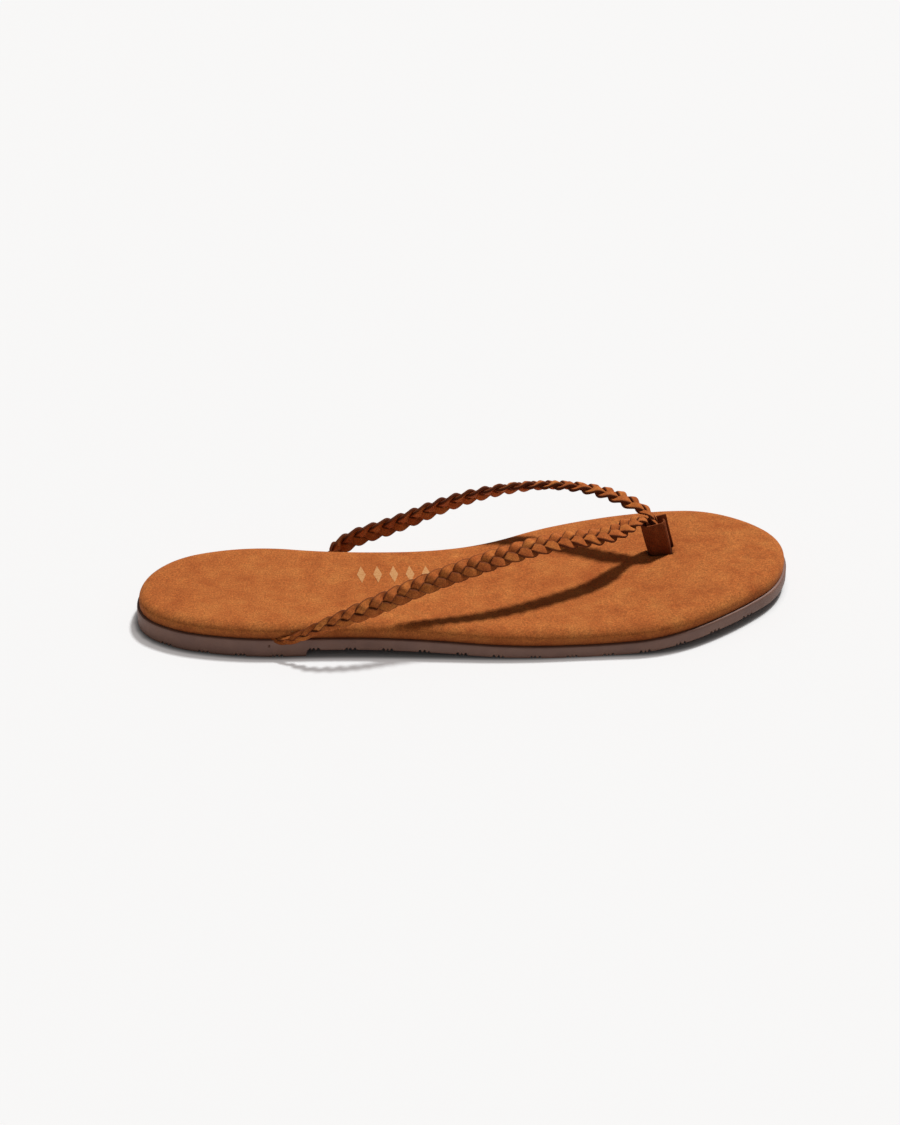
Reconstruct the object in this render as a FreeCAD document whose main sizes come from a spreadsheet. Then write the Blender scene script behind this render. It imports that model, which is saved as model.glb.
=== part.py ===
import FreeCAD, Part
import Sketcher
import math
import os

# A right-foot thong sandal (flip flop): a moulded rubber outsole with a low heel block, a padded
# footbed wrapped in nubuck, two straps plaited from three leather strands each, and a leather toe
# post. Millimetres. +X runs to the toe, +Y to the big-toe side, +Z up. The origin is the centre of
# the sole's plan on the ground. Heights of the layers are counted from the sole's own underside
# line, which rises at the heel and at the toe.

Vector = FreeCAD.Vector
UP = Vector(0, 0, 1)

# alias, value, what it is
SIZES = [
    ("sole_length", 254.0, "heel to toe over the outsole"),
    ("sole_width", 87.5, "across the ball over the outsole"),
    ("heel_outer_reach", 29.6, "centre line to the little-toe side edge at the heel"),
    ("heel_inner_reach", 23.2, "centre line to the big-toe side edge at the heel"),
    ("waist_outer_reach", 37.7, "centre line to the little-toe side edge at the waist"),
    ("waist_inner_reach", 19.8, "centre line to the big-toe side edge at the waist"),
    ("toe_outer_reach", 36.2, "centre line to the little-toe side edge behind the toe"),
    ("toe_inner_reach", 35.8, "centre line to the big-toe side edge behind the toe"),
    ("heel_point_shift", 6.5, "rearmost point, towards the little-toe side"),
    ("toe_point_shift", 9.0, "foremost point, towards the big-toe side"),
    ("heel_outer_station", 22.0, "from the heel end forward"),
    ("heel_inner_station", 24.0, "from the heel end forward"),
    ("waist_outer_station", 95.0, "from the heel end forward"),
    ("waist_inner_station", 100.0, "from the heel end forward"),
    ("ball_outer_station", 94.0, "from the toe end back"),
    ("ball_inner_station", 57.0, "from the toe end back"),
    ("toe_outer_station", 37.0, "from the toe end back"),
    ("toe_inner_station", 18.0, "from the toe end back"),
    ("heel_lift", 2.6, "underside line above the ground at the heel"),
    ("toe_spring", 3.0, "underside line above the ground at the toe"),
    ("drop_station", 78.0, "where the underside line starts down, from the heel end"),
    ("tread_station", 86.0, "where the ball touches the ground, from the toe end"),
    ("spring_station", 22.0, "where the toe spring levels out, from the toe end"),
    ("heel_block_length", 64.0, "heel end to the front face of the heel block"),
    ("outsole_thickness", 5.0, "rubber outsole"),
    ("lip_width", 1.0, "outsole standing out past the footbed"),
    ("leather_thickness", 1.0, "nubuck cover and its turned margin"),
    ("margin_width", 12.0, "cover turned in under the board"),
    ("board_thickness", 1.6, "fibre insole board"),
    ("foam_thickness", 2.3, "footbed padding"),
    ("edge_round", 3.2, "rounding of the footbed's top edge"),
    ("fit_gap", 0.25, "clearance round a piece let into another"),
    ("groove_width", 0.8, "tread groove"),
    ("groove_depth", 0.9, "tread groove"),
    ("groove_pitch", 1.6, "tread groove to tread groove in a group"),
    ("group_pitch", 14.0, "group of tread grooves to the next"),
    ("group_station", 9.0, "first group, from the heel end; none nearer the toe end either"),
    ("lateral_anchor_station", 55.0, "outer strap leaves the seam, from the heel end"),
    ("medial_anchor_station", 72.5, "inner strap leaves the seam, from the heel end"),
    ("tail_length", 21.0, "strap tail held between footbed and outsole"),
    ("tail_angle", 34.0, "strap tail to the sole's centre line, degrees"),
    ("tab_width", 5.6, "leather tab under a strap tail"),
    ("tab_thickness", 0.9, "leather tab under a strap tail"),
    ("strand_width", 2.6, "leather strand"),
    ("strand_thickness", 1.2, "leather strand"),
    ("strand_gap", 1.15, "outer strand to the crossing pair beside it"),
    ("strand_play", 0.67, "height left between two strands where they cross"),
    ("strand_period", 17.3, "along the strap, one whole wave of a strand"),
    ("tail_scale", 0.5, "strap tail's section against the full strap"),
    ("lateral_taper", 42.0, "outer strap, from the seam to its full section"),
    ("medial_taper", 8.0, "inner strap, from the seam to its full section"),
    ("post_station", 49.5, "toe post's foot, from the toe end"),
    ("post_shift", 11.0, "toe post, from the centre line to the big-toe side"),
    ("post_height", 13.8, "toe post above the footbed"),
    ("post_lean", 13.5, "toe post leans back, degrees"),
    ("post_length", 9.2, "toe post section along the foot"),
    ("post_breadth", 6.2, "toe post section across the foot"),
    ("post_wall", 0.9, "leather of the toe post"),
    ("post_slit", 1.4, "gap between the toe post's two front edges"),
    ("post_side_gap", 0.3, "strap to the inside of the toe post, each side"),
    ("core_rise", 5.0, "toe post core above the footbed"),
    ("patch_length", 26.0, "patch that anchors the toe post"),
    ("patch_breadth", 20.0, "patch that anchors the toe post"),
    ("foil_height", 12.0, "stamped lozenge, across the foot"),
    ("foil_breadth", 3.4, "stamped lozenge, along the foot"),
    ("foil_pitch", 6.3, "lozenge to lozenge"),
    ("foil_thickness", 0.12, "foil"),
    ("foil_station", 87.0, "first lozenge, from the heel end"),
]
FOIL_COUNT = 5
GROUP_GROOVES = 3
STRANDS = 3
SECTION_SIDES = 8
SECTIONS_PER_WAVE = 8

# Each strap's route between the seam and the toe post: share of the way, bow outwards, arch above
# a line from the footbed to the post's mouth, and how far its outer face leans up, in degrees.
LATERAL_ROUTE = [(0.047, 3.8, -4, 20), (0.09, 7.1, -0.8, 8), (0.165, 10.1, 2.5, 8),
                 (0.245, 11.8, 5.2, 14), (0.335, 12.2, 8.1, 22), (0.52, 13.4, 13, 40),
                 (0.665, 12.5, 13.9, 56), (0.79, 10.4, 10.5, 68), (0.9, 6.3, 5.7, 80)]
MEDIAL_ROUTE = [(0.048, 4.6, -4.2, 14), (0.115, 7.4, -1.2, 6), (0.195, 9.8, 0.5, 8),
                (0.375, 14.6, 6.8, 22), (0.56, 17.5, 11.2, 42), (0.705, 17.2, 11.7, 60),
                (0.8, 14.1, 11.2, 68), (0.87, 10.2, 9.9, 76), (0.93, 5.7, 7.8, 84)]
# Then into the post: ahead of its axis, out to the strap's side, and above its mouth along the axis.
LATERAL_ENTRY = [(-5.0, 2.2, 2.2), (-2.6, 0.6, 1.0), (-1.6, 0.0, -2.2), (-1.5, 0.0, -5.8)]
MEDIAL_ENTRY = [(-2.4, 3.2, 3.8), (0.4, 1.0, 1.8), (1.4, 0.0, -1.8), (1.5, 0.0, -5.8)]
# Places along a strap's tail, as shares of its length from the seam inwards.
TAIL_SHARES = (0.95, 0.6, 0.25, 0.0)

doc = FreeCAD.newDocument("flip_flop")
sheet = doc.addObject("Spreadsheet::Sheet", "Sizes")
for row, (alias, value, meaning) in enumerate(SIZES, start=1):
    sheet.set("A%d" % row, alias)
    sheet.set("B%d" % row, str(value))
    sheet.set("C%d" % row, meaning)
    sheet.setAlias("B%d" % row, alias)
doc.recompute()


def size(alias):
    """The value of one named size, in millimetres or degrees."""
    return float(sheet.get(alias))


HALF_LENGTH = size("sole_length") / 2
HALF_WIDTH = size("sole_width") / 2


def from_heel(alias):
    """X of a station counted forward from the heel end."""
    return size(alias) - HALF_LENGTH


def from_toe(alias):
    """X of a station counted back from the toe end."""
    return HALF_LENGTH - size(alias)


# Heights of the layer boundaries above the underside line.
OUTSOLE_TOP = size("outsole_thickness")
MARGIN_TOP = OUTSOLE_TOP + size("leather_thickness")
BOARD_TOP = MARGIN_TOP + size("board_thickness")
FOAM_TOP = BOARD_TOP + size("foam_thickness")
COVER_TOP = FOAM_TOP + size("leather_thickness")


def arc_between(start, end, heading):
    """An arc from start to end that leaves start along heading, or a line where they are in line."""
    chord = end - start
    side = heading - chord * (heading.dot(chord) / chord.dot(chord))
    if side.Length < 1e-6:
        return Part.LineSegment(start, end).toShape()
    side.normalize()
    turn = heading.getAngle(chord)
    middle = (start + end) / 2 + side * (chord.Length / 2 * math.tan(turn / 2))
    return Part.Arc(start, middle, end).toShape()


def biarc(start, heading, end, end_heading):
    """Two tangent arcs that join two points with the headings given."""
    gap = end - start
    both = heading + end_heading
    bend = 2 * (1 - heading.dot(end_heading))
    if bend < 1e-9:
        reach = gap.dot(gap) / (2 * gap.dot(both))
    else:
        reach = (math.sqrt(gap.dot(both) ** 2 + bend * gap.dot(gap)) - gap.dot(both)) / bend
    joint = (start + end + (heading - end_heading) * reach) / 2
    return [arc_between(start, joint, heading), arc_between(end, joint, -end_heading)]


def smooth_edges(points, closed):
    """Tangent arcs through points, each a place and a heading, or None for its neighbours' line."""
    places = [place for place, _ in points]
    headings = []
    for index, (_, heading) in enumerate(points):
        if heading is None:
            heading = places[(index + 1) % len(places)] - places[index - 1]
            heading.normalize()
        headings.append(heading)
    last = len(points) if closed else len(points) - 1
    edges = []
    for index in range(last):
        after = (index + 1) % len(points)
        edges += biarc(places[index], headings[index], places[after], headings[after])
    return edges


def sole_outline():
    """The outsole's plan outline, through its widest, narrowest, foremost and rearmost points."""
    backward, forward = Vector(-1, 0, 0), Vector(1, 0, 0)
    outward, inward = Vector(0, -1, 0), Vector(0, 1, 0)
    points = [
        (Vector(-HALF_LENGTH, -size("heel_point_shift")), outward),
        (Vector(from_heel("heel_outer_station"), -size("heel_outer_reach")), None),
        (Vector(from_heel("waist_outer_station"), -size("waist_outer_reach")), None),
        (Vector(from_toe("ball_outer_station"), -HALF_WIDTH), forward),
        (Vector(from_toe("toe_outer_station"), -size("toe_outer_reach")), None),
        (Vector(HALF_LENGTH, size("toe_point_shift")), inward),
        (Vector(from_toe("toe_inner_station"), size("toe_inner_reach")), None),
        (Vector(from_toe("ball_inner_station"), HALF_WIDTH), backward),
        (Vector(from_heel("waist_inner_station"), size("waist_inner_reach")), backward),
        (Vector(from_heel("heel_inner_station"), size("heel_inner_reach")), None),
    ]
    return Part.Wire(Part.__sortEdges__(smooth_edges(points, closed=True)))


def underside_points(rise):
    """Places and headings of the sole's underside line in side view, raised by rise."""
    overrun = size("sole_length") / 10
    level = Vector(1, 0, 0)
    lift, spring = size("heel_lift") + rise, size("toe_spring") + rise
    return [(Vector(-HALF_LENGTH - overrun, 0, lift), level),
            (Vector(from_heel("drop_station"), 0, lift), level),
            (Vector(from_toe("tread_station"), 0, rise), level),
            (Vector(from_toe("spring_station"), 0, spring), level),
            (Vector(HALF_LENGTH + overrun, 0, spring), level)]


def underside_height(x):
    """Height of the underside line at a station: level runs joined by two-arc bends."""
    places = [place for place, _ in underside_points(0.0)]
    for before, after in zip(places, places[1:]):
        if x <= after.x:
            half_run, half_rise = (after.x - before.x) / 2, (after.z - before.z) / 2
            if abs(half_rise) < 1e-9:
                return before.z
            radius = (half_run ** 2 + half_rise ** 2) / (2 * abs(half_rise))
            end, way = (before, 1) if x < before.x + half_run else (after, -1)
            sag = radius - math.sqrt(radius ** 2 - (x - end.x) ** 2)
            return end.z + way * math.copysign(sag, half_rise)
    return places[-1].z


def add(kind, name, **properties):
    """A document object with its properties set."""
    thing = doc.addObject(kind, name)
    for key, value in properties.items():
        setattr(thing, key, value)
    return thing


def bind(thing, **expressions):
    """Tie an object's properties to the sheet."""
    for key, expression in expressions.items():
        thing.setExpression(key, expression)
    return thing


def rule(name, shape):
    """A shape that is worked out by rule, held in the document."""
    return add("Part::Feature", name, Shape=shape)


def outline_inside(inset):
    """The sole outline moved in by inset."""
    outline = sole_outline()
    return outline.makeOffset2D(-inset) if inset else outline


STACK = ("Sizes.heel_lift + Sizes.toe_spring + Sizes.outsole_thickness + Sizes.board_thickness"
         " + Sizes.foam_thickness + 4 * Sizes.leather_thickness")


def upright(name, face):
    """A plan face stood up through the whole height of the sole."""
    blank = add("Part::Extrusion", name, Base=face, DirMode="Custom", Dir=UP, Solid=True)
    return bind(blank, LengthFwd=STACK)


def plan(name, inset):
    """The sole outline, moved in by inset, stood up through the sole."""
    return upright(name, rule(name + "_outline", Part.Face(outline_inside(inset))))


def band(name, low, high):
    """The slice of space between two heights above the underside line, across the whole sole."""
    lower, upper = underside_points(low), underside_points(high)
    edges = smooth_edges(lower, closed=False) + smooth_edges(upper, closed=False)
    for end in (0, -1):
        edges.append(Part.LineSegment(lower[end][0], upper[end][0]).toShape())
    profile = rule(name + "_profile", Part.Face(Part.Wire(Part.__sortEdges__(edges))))
    slab = add("Part::Extrusion", name, Base=profile, DirMode="Custom", Dir=Vector(0, 1, 0),
               Solid=True, Symmetric=True)
    return bind(slab, LengthFwd="2 * Sizes.sole_width")


def common(name, *pieces):
    return add("Part::MultiCommon", name, Shapes=list(pieces))


def fused(name, *pieces):
    return add("Part::MultiFuse", name, Shapes=list(pieces))


def cut(name, base, tool):
    return add("Part::Cut", name, Base=base, Tool=tool)


def box(name, length, width, height):
    """A box whose sides are tied to the sheet."""
    return bind(add("Part::Box", name), Length=length, Width=width, Height=height)


def rounded_top(name, base, rise, radius):
    """A layer with its upper rim rounded."""
    doc.recompute()
    rim = []
    for number, edge in enumerate(base.Shape.Edges, start=1):
        middle = edge.valueAt((edge.FirstParameter + edge.LastParameter) / 2)
        across = edge.tangentAt(edge.FirstParameter).cross(Vector(0, 1, 0)).Length < 1e-4
        if abs(middle.z - underside_height(middle.x) - rise) < 1e-3 and not across:
            rim.append((number, radius, radius))
    return add("Part::Fillet", name, Base=base, Edges=rim)


def rectangle_body(name, length, width, height, hollow=None):
    """A padded rectangle about its own axis, with a smaller one pocketed through it."""
    body = doc.addObject("PartDesign::Body", name)
    ground = next(f for f in body.Origin.OriginFeatures if f.Role == "XY_Plane")
    solid = body.newObject("PartDesign::Pad", name + "_pad")
    solid.Profile = rectangle_sketch(body, ground, name + "_plan", length, width)
    bind(solid, Length=height)
    if hollow:
        doc.recompute()
        pocket = body.newObject("PartDesign::Pocket", name + "_pocket")
        pocket.Profile = rectangle_sketch(body, ground, name + "_hollow", *hollow)
        pocket.Reversed = True
        bind(pocket, Length=height)
    return body


def rectangle_sketch(body, ground, name, length, width):
    """A rectangle centred on its sketch's origin, with both sides tied to the sheet."""
    sketch = body.newObject("Sketcher::SketchObject", name)
    sketch.AttachmentSupport = (ground, "")
    sketch.MapMode = "FlatFace"
    corners = [Vector(-1, -1, 0), Vector(1, -1, 0), Vector(1, 1, 0), Vector(-1, 1, 0)]
    for index, corner in enumerate(corners):
        sketch.addGeometry(Part.LineSegment(corner, corners[(index + 1) % 4]), False)
    for index in range(4):
        sketch.addConstraint(Sketcher.Constraint("Coincident", index, 2, (index + 1) % 4, 1))
        level = "Horizontal" if index % 2 == 0 else "Vertical"
        sketch.addConstraint(Sketcher.Constraint(level, index))
    sketch.addConstraint(Sketcher.Constraint("Symmetric", 0, 1, 2, 1, -1, 1))
    for label, index, extent in (("length", 0, length), ("width", 1, width)):
        number = sketch.addConstraint(Sketcher.Constraint("Distance", index, 2.0))
        sketch.renameConstraint(number, label)
        sketch.setExpression("Constraints." + label, extent)
    return sketch


# The sole, layer by layer.
CLEAR = size("fit_gap")
COVER_INSET = size("lip_width")
BOARD_INSET = COVER_INSET + size("leather_thickness")
FILLER_INSET = COVER_INSET + size("margin_width")

sole_plan = plan("sole_plan", 0)
cover_plan = plan("cover_plan", COVER_INSET)
board_plan = plan("board_plan", BOARD_INSET)
opening_plan = plan("margin_opening_plan", FILLER_INSET)
filler_plan = plan("filler_plan", FILLER_INSET + CLEAR)
margin_band = band("margin_band", OUTSOLE_TOP, MARGIN_TOP)
board_band = band("board_band", MARGIN_TOP, BOARD_TOP)
foam_band = band("foam_band", BOARD_TOP, FOAM_TOP)
cover_band = band("cover_band", OUTSOLE_TOP, COVER_TOP)
above_margin = band("above_margin", MARGIN_TOP, COVER_TOP + 3 * size("post_height"))


# The toe post stands in a hole through footbed and board, and leans back.
POST_X = from_toe("post_station")
POST_FOOT = Vector(POST_X, size("post_shift"), underside_height(POST_X) + COVER_TOP)
POST_TURN = FreeCAD.Rotation(Vector(0, 1, 0), -size("post_lean"))
POST_AXIS = POST_TURN.multVec(UP)
POST_RISE = POST_AXIS.z * size("post_height")
POST_ROOT = "(2 * Sizes.leather_thickness + Sizes.board_thickness + Sizes.foam_thickness)"
post_depth = COVER_TOP - MARGIN_TOP + size("leather_thickness")


def on_post(piece):
    """Set a piece on the toe post's axis, its lower end below the board."""
    piece.Placement = FreeCAD.Placement(POST_FOOT - POST_AXIS * post_depth, POST_TURN)
    return piece


sleeve_blank = on_post(rectangle_body(
    "sleeve_blank", "Sizes.post_length", "Sizes.post_breadth", POST_ROOT + " + Sizes.post_height",
    hollow=("Sizes.post_length - 2 * Sizes.post_wall", "Sizes.post_breadth - 2 * Sizes.post_wall")))
core_blank = on_post(rectangle_body(
    "core_blank", "Sizes.post_length - 2 * Sizes.post_wall - 2 * Sizes.fit_gap",
    "Sizes.post_breadth - 2 * Sizes.post_wall - 2 * Sizes.fit_gap", POST_ROOT + " + Sizes.core_rise"))
post_hole = on_post(rectangle_body(
    "post_hole", "Sizes.post_length + 2 * Sizes.fit_gap", "Sizes.post_breadth + 2 * Sizes.fit_gap",
    POST_ROOT + " + Sizes.post_height"))
slit = box("front_slit", "2 * Sizes.post_wall", "Sizes.post_slit",
           "2 * Sizes.post_height + Sizes.foam_thickness")
slit_offset = Vector(size("post_length") / 2 - 1.5 * size("post_wall"), -size("post_slit") / 2, 0)
slit.Placement = FreeCAD.Placement(
    POST_FOOT - POST_AXIS * post_depth + POST_TURN.multVec(slit_offset), POST_TURN)

toe_post_sleeve = common("toe_post_sleeve", cut("slit_sleeve", sleeve_blank, slit), above_margin)
toe_post_core = common("toe_post_core", core_blank, above_margin)


def on_post_plan(piece):
    """Set a flat piece under the toe post's foot."""
    piece.Placement = FreeCAD.Placement(Vector(POST_FOOT.x, POST_FOOT.y, 0), FreeCAD.Rotation())
    return piece


patch_plan = on_post_plan(rectangle_body(
    "patch_plan", "Sizes.patch_length", "Sizes.patch_breadth", STACK))
patch_window = on_post_plan(rectangle_body(
    "patch_window", "Sizes.patch_length + 2 * Sizes.fit_gap",
    "Sizes.patch_breadth + 2 * Sizes.fit_gap", STACK))
toe_post_patch = common("toe_post_patch", patch_plan, margin_band)

cover_round = min(size("edge_round"), size("foam_thickness") + size("leather_thickness") - CLEAR / 2)
foam_blank = rounded_top("foam_blank", common("foam_slab", board_plan, foam_band), FOAM_TOP,
                         cover_round - size("leather_thickness"))
board_blank = common("board_blank", board_plan, board_band)
cover_blank = rounded_top("cover_blank", common("cover_slab", cover_plan, cover_band), COVER_TOP,
                          cover_round)
margin_opening = common("margin_opening", opening_plan, margin_band)
cover_hollow = fused("cover_hollow", foam_blank, board_blank, margin_opening, post_hole)
footbed_cover = cut("footbed_cover", cover_blank, cover_hollow)
footbed_foam = cut("footbed_foam", foam_blank, post_hole)
insole_board = cut("insole_board", board_blank, post_hole)
bottom_filler = cut("bottom_filler", common("filler_sheet", filler_plan, margin_band), patch_window)


# The straps. Each tail lies on a leather tab in a groove in the outsole, under the turned margin.
OUTLINE = sole_outline()
# An outer strand stands one and a half swings from the crossing pair; two strands that cross are
# twice the sine of 60 degrees times the lift apart.
PLAIT_SWING = (size("strand_width") + size("strand_gap")) / 1.5
PLAIT_LIFT = (size("strand_thickness") + size("strand_play")) / (2 * math.sin(math.pi / STRANDS))
PLAIT_WIDTH = 2 * PLAIT_SWING + size("strand_width")
PLAIT_THICKNESS = 2 * PLAIT_LIFT + size("strand_thickness")
POST_SCALE = (size("post_breadth") - 2 * size("post_wall") - 2 * size("post_side_gap")) / PLAIT_WIDTH
SEAM_HEIGHT = size("heel_lift") + OUTSOLE_TOP
TAIL_THICKNESS = PLAIT_THICKNESS * size("tail_scale")
TAIL_HEIGHT = SEAM_HEIGHT - CLEAR - TAIL_THICKNESS / 2
GROOVE_FLOOR = SEAM_HEIGHT - size("tab_thickness") - TAIL_THICKNESS - 2 * CLEAR


def seam_point(alias, side):
    """Where a strap's middle line crosses the outsole's edge."""
    x = from_heel(alias)
    ray = Part.LineSegment(Vector(x, 0, 0), Vector(x, side * size("sole_width"), 0)).toShape()
    y = ray.distToShape(OUTLINE)[1][0][0].y
    return Vector(x, y, TAIL_HEIGHT)


class Strap:
    """One plaited strap: where it leaves the seam, its route, and its strands."""

    def __init__(self, name, side, anchor_alias, route, entry):
        self.name = name
        self.side = side
        self.exit = seam_point(anchor_alias, side)
        tail = math.radians(size("tail_angle"))
        self.tail_way = Vector(math.cos(tail), side * math.sin(tail), 0)
        self.build_route(route, entry)

    def build_route(self, route, entry):
        """The middle line and its outward faces, from the tail's end to inside the toe post."""
        post_mouth = POST_FOOT + POST_AXIS * size("post_height")
        ahead = Vector(1, 0, 0)
        places = [self.exit - self.tail_way * (size("tail_length") * share) for share in TAIL_SHARES]
        faces = [UP] * (len(TAIL_SHARES) - 1) + [Vector(0, self.side, 1).normalize()]
        for share, bow, arch, lean in route:
            place = self.exit + (post_mouth - self.exit) * share
            place.y += self.side * bow
            place.z = underside_height(place.x) + COVER_TOP + share * POST_RISE + arch
            places.append(place)
            lean = math.radians(lean)
            faces.append(Vector(0, self.side * math.cos(lean), math.sin(lean)))
        for forward, aside, above in entry:
            places.append(post_mouth + POST_AXIS * above + Vector(forward, self.side * aside, 0))
            faces.append(ahead + UP * max(0.0, above + 1))
        self.curve = Part.BSplineCurve()
        self.curve.interpolate(places)
        self.length = self.curve.length()
        self.marks = [self.curve.length(self.curve.FirstParameter, self.curve.parameter(place))
                      if index else 0.0 for index, place in enumerate(places)]
        self.faces = faces

    def face_at(self, along):
        """Which way the strap's outer face looks."""
        for index in range(1, len(self.marks)):
            if along <= self.marks[index] or index == len(self.marks) - 1:
                share = (along - self.marks[index - 1]) / (self.marks[index] - self.marks[index - 1])
                share = max(0.0, min(1.0, share))
                return self.faces[index - 1] * (1 - share) + self.faces[index] * share

    def frame_at(self, along):
        """Middle line's place, and the strap's own sideways and outward directions."""
        along = max(0.0, min(self.length, along))
        parameter = self.curve.parameterAtDistance(along, self.curve.FirstParameter)
        heading = self.curve.tangent(parameter)[0]
        sideways = self.face_at(along).cross(heading).normalize()
        return self.curve.value(parameter), sideways, heading.cross(sideways)

    def scale_at(self, along):
        """The strap is skived thin in the seam and where it enters the toe post."""
        thick = max(0.0, min(1.0, (along - size("tail_length")) / size(self.name + "_taper")))
        out = max(0.0, min(1.0, (self.length - size("core_rise") - along) / size("post_height")))
        return min(size("tail_scale") * (1 - thick) + thick, POST_SCALE * (1 - out) + out)

    def strand_centre(self, along, phase):
        """A strand's middle line: side to side once a wave, over and under twice, in mirrored pairs."""
        place, sideways, outward = self.frame_at(along)
        angle = 2 * math.pi * along / size("strand_period") + phase
        scale = self.scale_at(along)
        swing = PLAIT_SWING * scale * math.sin(angle)
        lift = -self.side * PLAIT_LIFT * scale * math.sin(2 * angle)
        return place + sideways * swing + outward * lift

    def strand(self, index):
        """One strand, lofted through sections square to its own path."""
        phase = 2 * math.pi * index / STRANDS
        count = round(self.length / size("strand_period") * SECTIONS_PER_WAVE)
        look = size("strand_period") / SECTIONS_PER_WAVE ** 2
        wires = []
        for step in range(count + 1):
            along = self.length * step / count
            before, after = max(0.0, along - look), min(self.length, along + look)
            centre = self.strand_centre(along, phase)
            heading = self.strand_centre(after, phase) - self.strand_centre(before, phase)
            heading.normalize()
            outward = self.frame_at(along)[2]
            across = outward.cross(heading).normalize()
            upward = heading.cross(across)
            half_width = size("strand_width") / 2 * self.scale_at(along)
            half_thickness = size("strand_thickness") / 2 * self.scale_at(along)
            ring = []
            for side in range(SECTION_SIDES):
                turn = 2 * math.pi * side / SECTION_SIDES
                ring.append(centre + across * (half_width * math.cos(turn))
                            + upward * (half_thickness * math.sin(turn)))
            wires.append(Part.makePolygon(ring + ring[:1]))
        return rule("%s_strand_%d" % (self.name, index + 1), Part.makeLoft(wires, True, True))

    def lay(self, piece, inner_end, height, width):
        """Set a box along the tail, from its inner end, centred on it."""
        across = UP.cross(self.tail_way)
        corner = self.exit - self.tail_way * inner_end - across * (width / 2)
        corner.z = height
        turn = FreeCAD.Rotation(Vector(1, 0, 0), self.tail_way)
        piece.Placement = FreeCAD.Placement(corner, turn)
        return piece

    def groove(self):
        """The groove in the outsole that takes the tail and its tab, open at the sole's edge."""
        piece = box(self.name + "_groove", "1.5 * Sizes.tail_length",
                    "Sizes.tab_width + 2 * Sizes.fit_gap", "Sizes.outsole_thickness")
        return self.lay(piece, size("tail_length"), GROOVE_FLOOR, size("tab_width") + 2 * CLEAR)

    def tab(self):
        """The leather tab that the tail is bonded to, on the floor of the groove."""
        piece = box(self.name + "_anchor_tab", "0.8 * Sizes.tail_length", "Sizes.tab_width",
                    "Sizes.tab_thickness")
        return self.lay(piece, size("tail_length") - CLEAR, GROOVE_FLOOR, size("tab_width"))


straps = [Strap("lateral", -1, "lateral_anchor_station", LATERAL_ROUTE, LATERAL_ENTRY),
          Strap("medial", 1, "medial_anchor_station", MEDIAL_ROUTE, MEDIAL_ENTRY)]
strands = [strap.strand(index) for strap in straps for index in range(STRANDS)]
tabs = [strap.tab() for strap in straps]


# The outsole: a level-thickness sole, the heel block moulded in one with it, the straps' grooves,
# and tread grooves across it in groups.
def tread_bars(name, stations):
    """Bars across the sole at the stations given, as deep as a heel block."""
    bars = []
    for index, station in enumerate(stations):
        bar = box("%s_%d" % (name, index), "Sizes.groove_width", "2 * Sizes.sole_width",
                  "2 * Sizes.heel_lift + 2 * Sizes.toe_spring + 2 * Sizes.groove_depth")
        place = Vector(station, -size("sole_width"), -size("heel_lift"))
        bar.Placement = FreeCAD.Placement(place, FreeCAD.Rotation())
        bars.append(bar)
    return add("Part::Compound", name, Links=bars)


def groove_stations():
    """X of the rear edge of every tread groove, in groups from the heel to the toe."""
    group, stations = from_heel("group_station"), []
    while group < from_toe("group_station"):
        stations += [group + index * size("groove_pitch") for index in range(GROUP_GROOVES)]
        group += size("group_pitch")
    return stations


heel_front = from_heel("heel_block_length")
under_heel = [station for station in groove_stations() if station < heel_front]
ahead_of_heel = [station for station in groove_stations() if station >= heel_front]
heel_space = box("heel_space", "Sizes.heel_block_length + Sizes.lip_width", "2 * Sizes.sole_width",
                 "Sizes.heel_lift + Sizes.outsole_thickness / 2")
heel_space.Placement.Base = Vector(-HALF_LENGTH - size("lip_width"), -size("sole_width"), 0)
heel_tread_space = box("heel_tread_space", "Sizes.heel_block_length", "2 * Sizes.sole_width",
                       "Sizes.groove_depth")
heel_tread_space.Placement.Base = Vector(-HALF_LENGTH, -size("sole_width"), 0)

outsole_slab = common("outsole_slab", sole_plan, band("outsole_band", 0, OUTSOLE_TOP))
heel_block = common("heel_block", sole_plan, heel_space)
outsole_blank = fused("outsole_blank", outsole_slab, heel_block)
heel_tread = common("heel_tread", heel_tread_space, tread_bars("heel_bars", under_heel))
fore_tread = common("fore_tread", band("fore_tread_band", -size("heel_lift"), size("groove_depth")),
                    tread_bars("fore_bars", ahead_of_heel))
outsole_cuts = fused("outsole_cuts", heel_tread, fore_tread, *[strap.groove() for strap in straps])
outsole = cut("outsole", outsole_blank, outsole_cuts)


# A row of plain lozenges stamped in foil across the heel end of the footbed.
def lozenge(x):
    tall, wide = size("foil_height") / 2, size("foil_breadth") / 2
    corners = [Vector(x - wide, 0), Vector(x, -tall), Vector(x + wide, 0), Vector(x, tall)]
    return Part.Face(Part.makePolygon(corners + corners[:1]))


foil_start, foil_step = from_heel("foil_station"), size("foil_pitch")
foil_faces = [lozenge(foil_start + index * foil_step) for index in range(FOIL_COUNT)]
foil_plan = upright("foil_plan", rule("foil_outlines", Part.Compound(foil_faces)))
foil_band = band("foil_band", COVER_TOP, COVER_TOP + size("foil_thickness"))
foil_mark = common("foil_mark", foil_plan, foil_band)

nodes = [outsole, bottom_filler, insole_board, footbed_foam, footbed_cover, toe_post_sleeve,
         toe_post_core, toe_post_patch, foil_mark] + tabs + strands

doc.recompute()
for thing in doc.Objects:
    if "Invalid" in thing.State or "Error" in thing.State:
        raise SystemExit("%s failed: %s" % (thing.Name, thing.State))
for node in nodes:
    node.Label = node.Name
    if node.Shape.isNull() or not node.Shape.isValid() or not node.Shape.Solids:
        raise SystemExit("%s has no valid solid" % node.Name)

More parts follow.
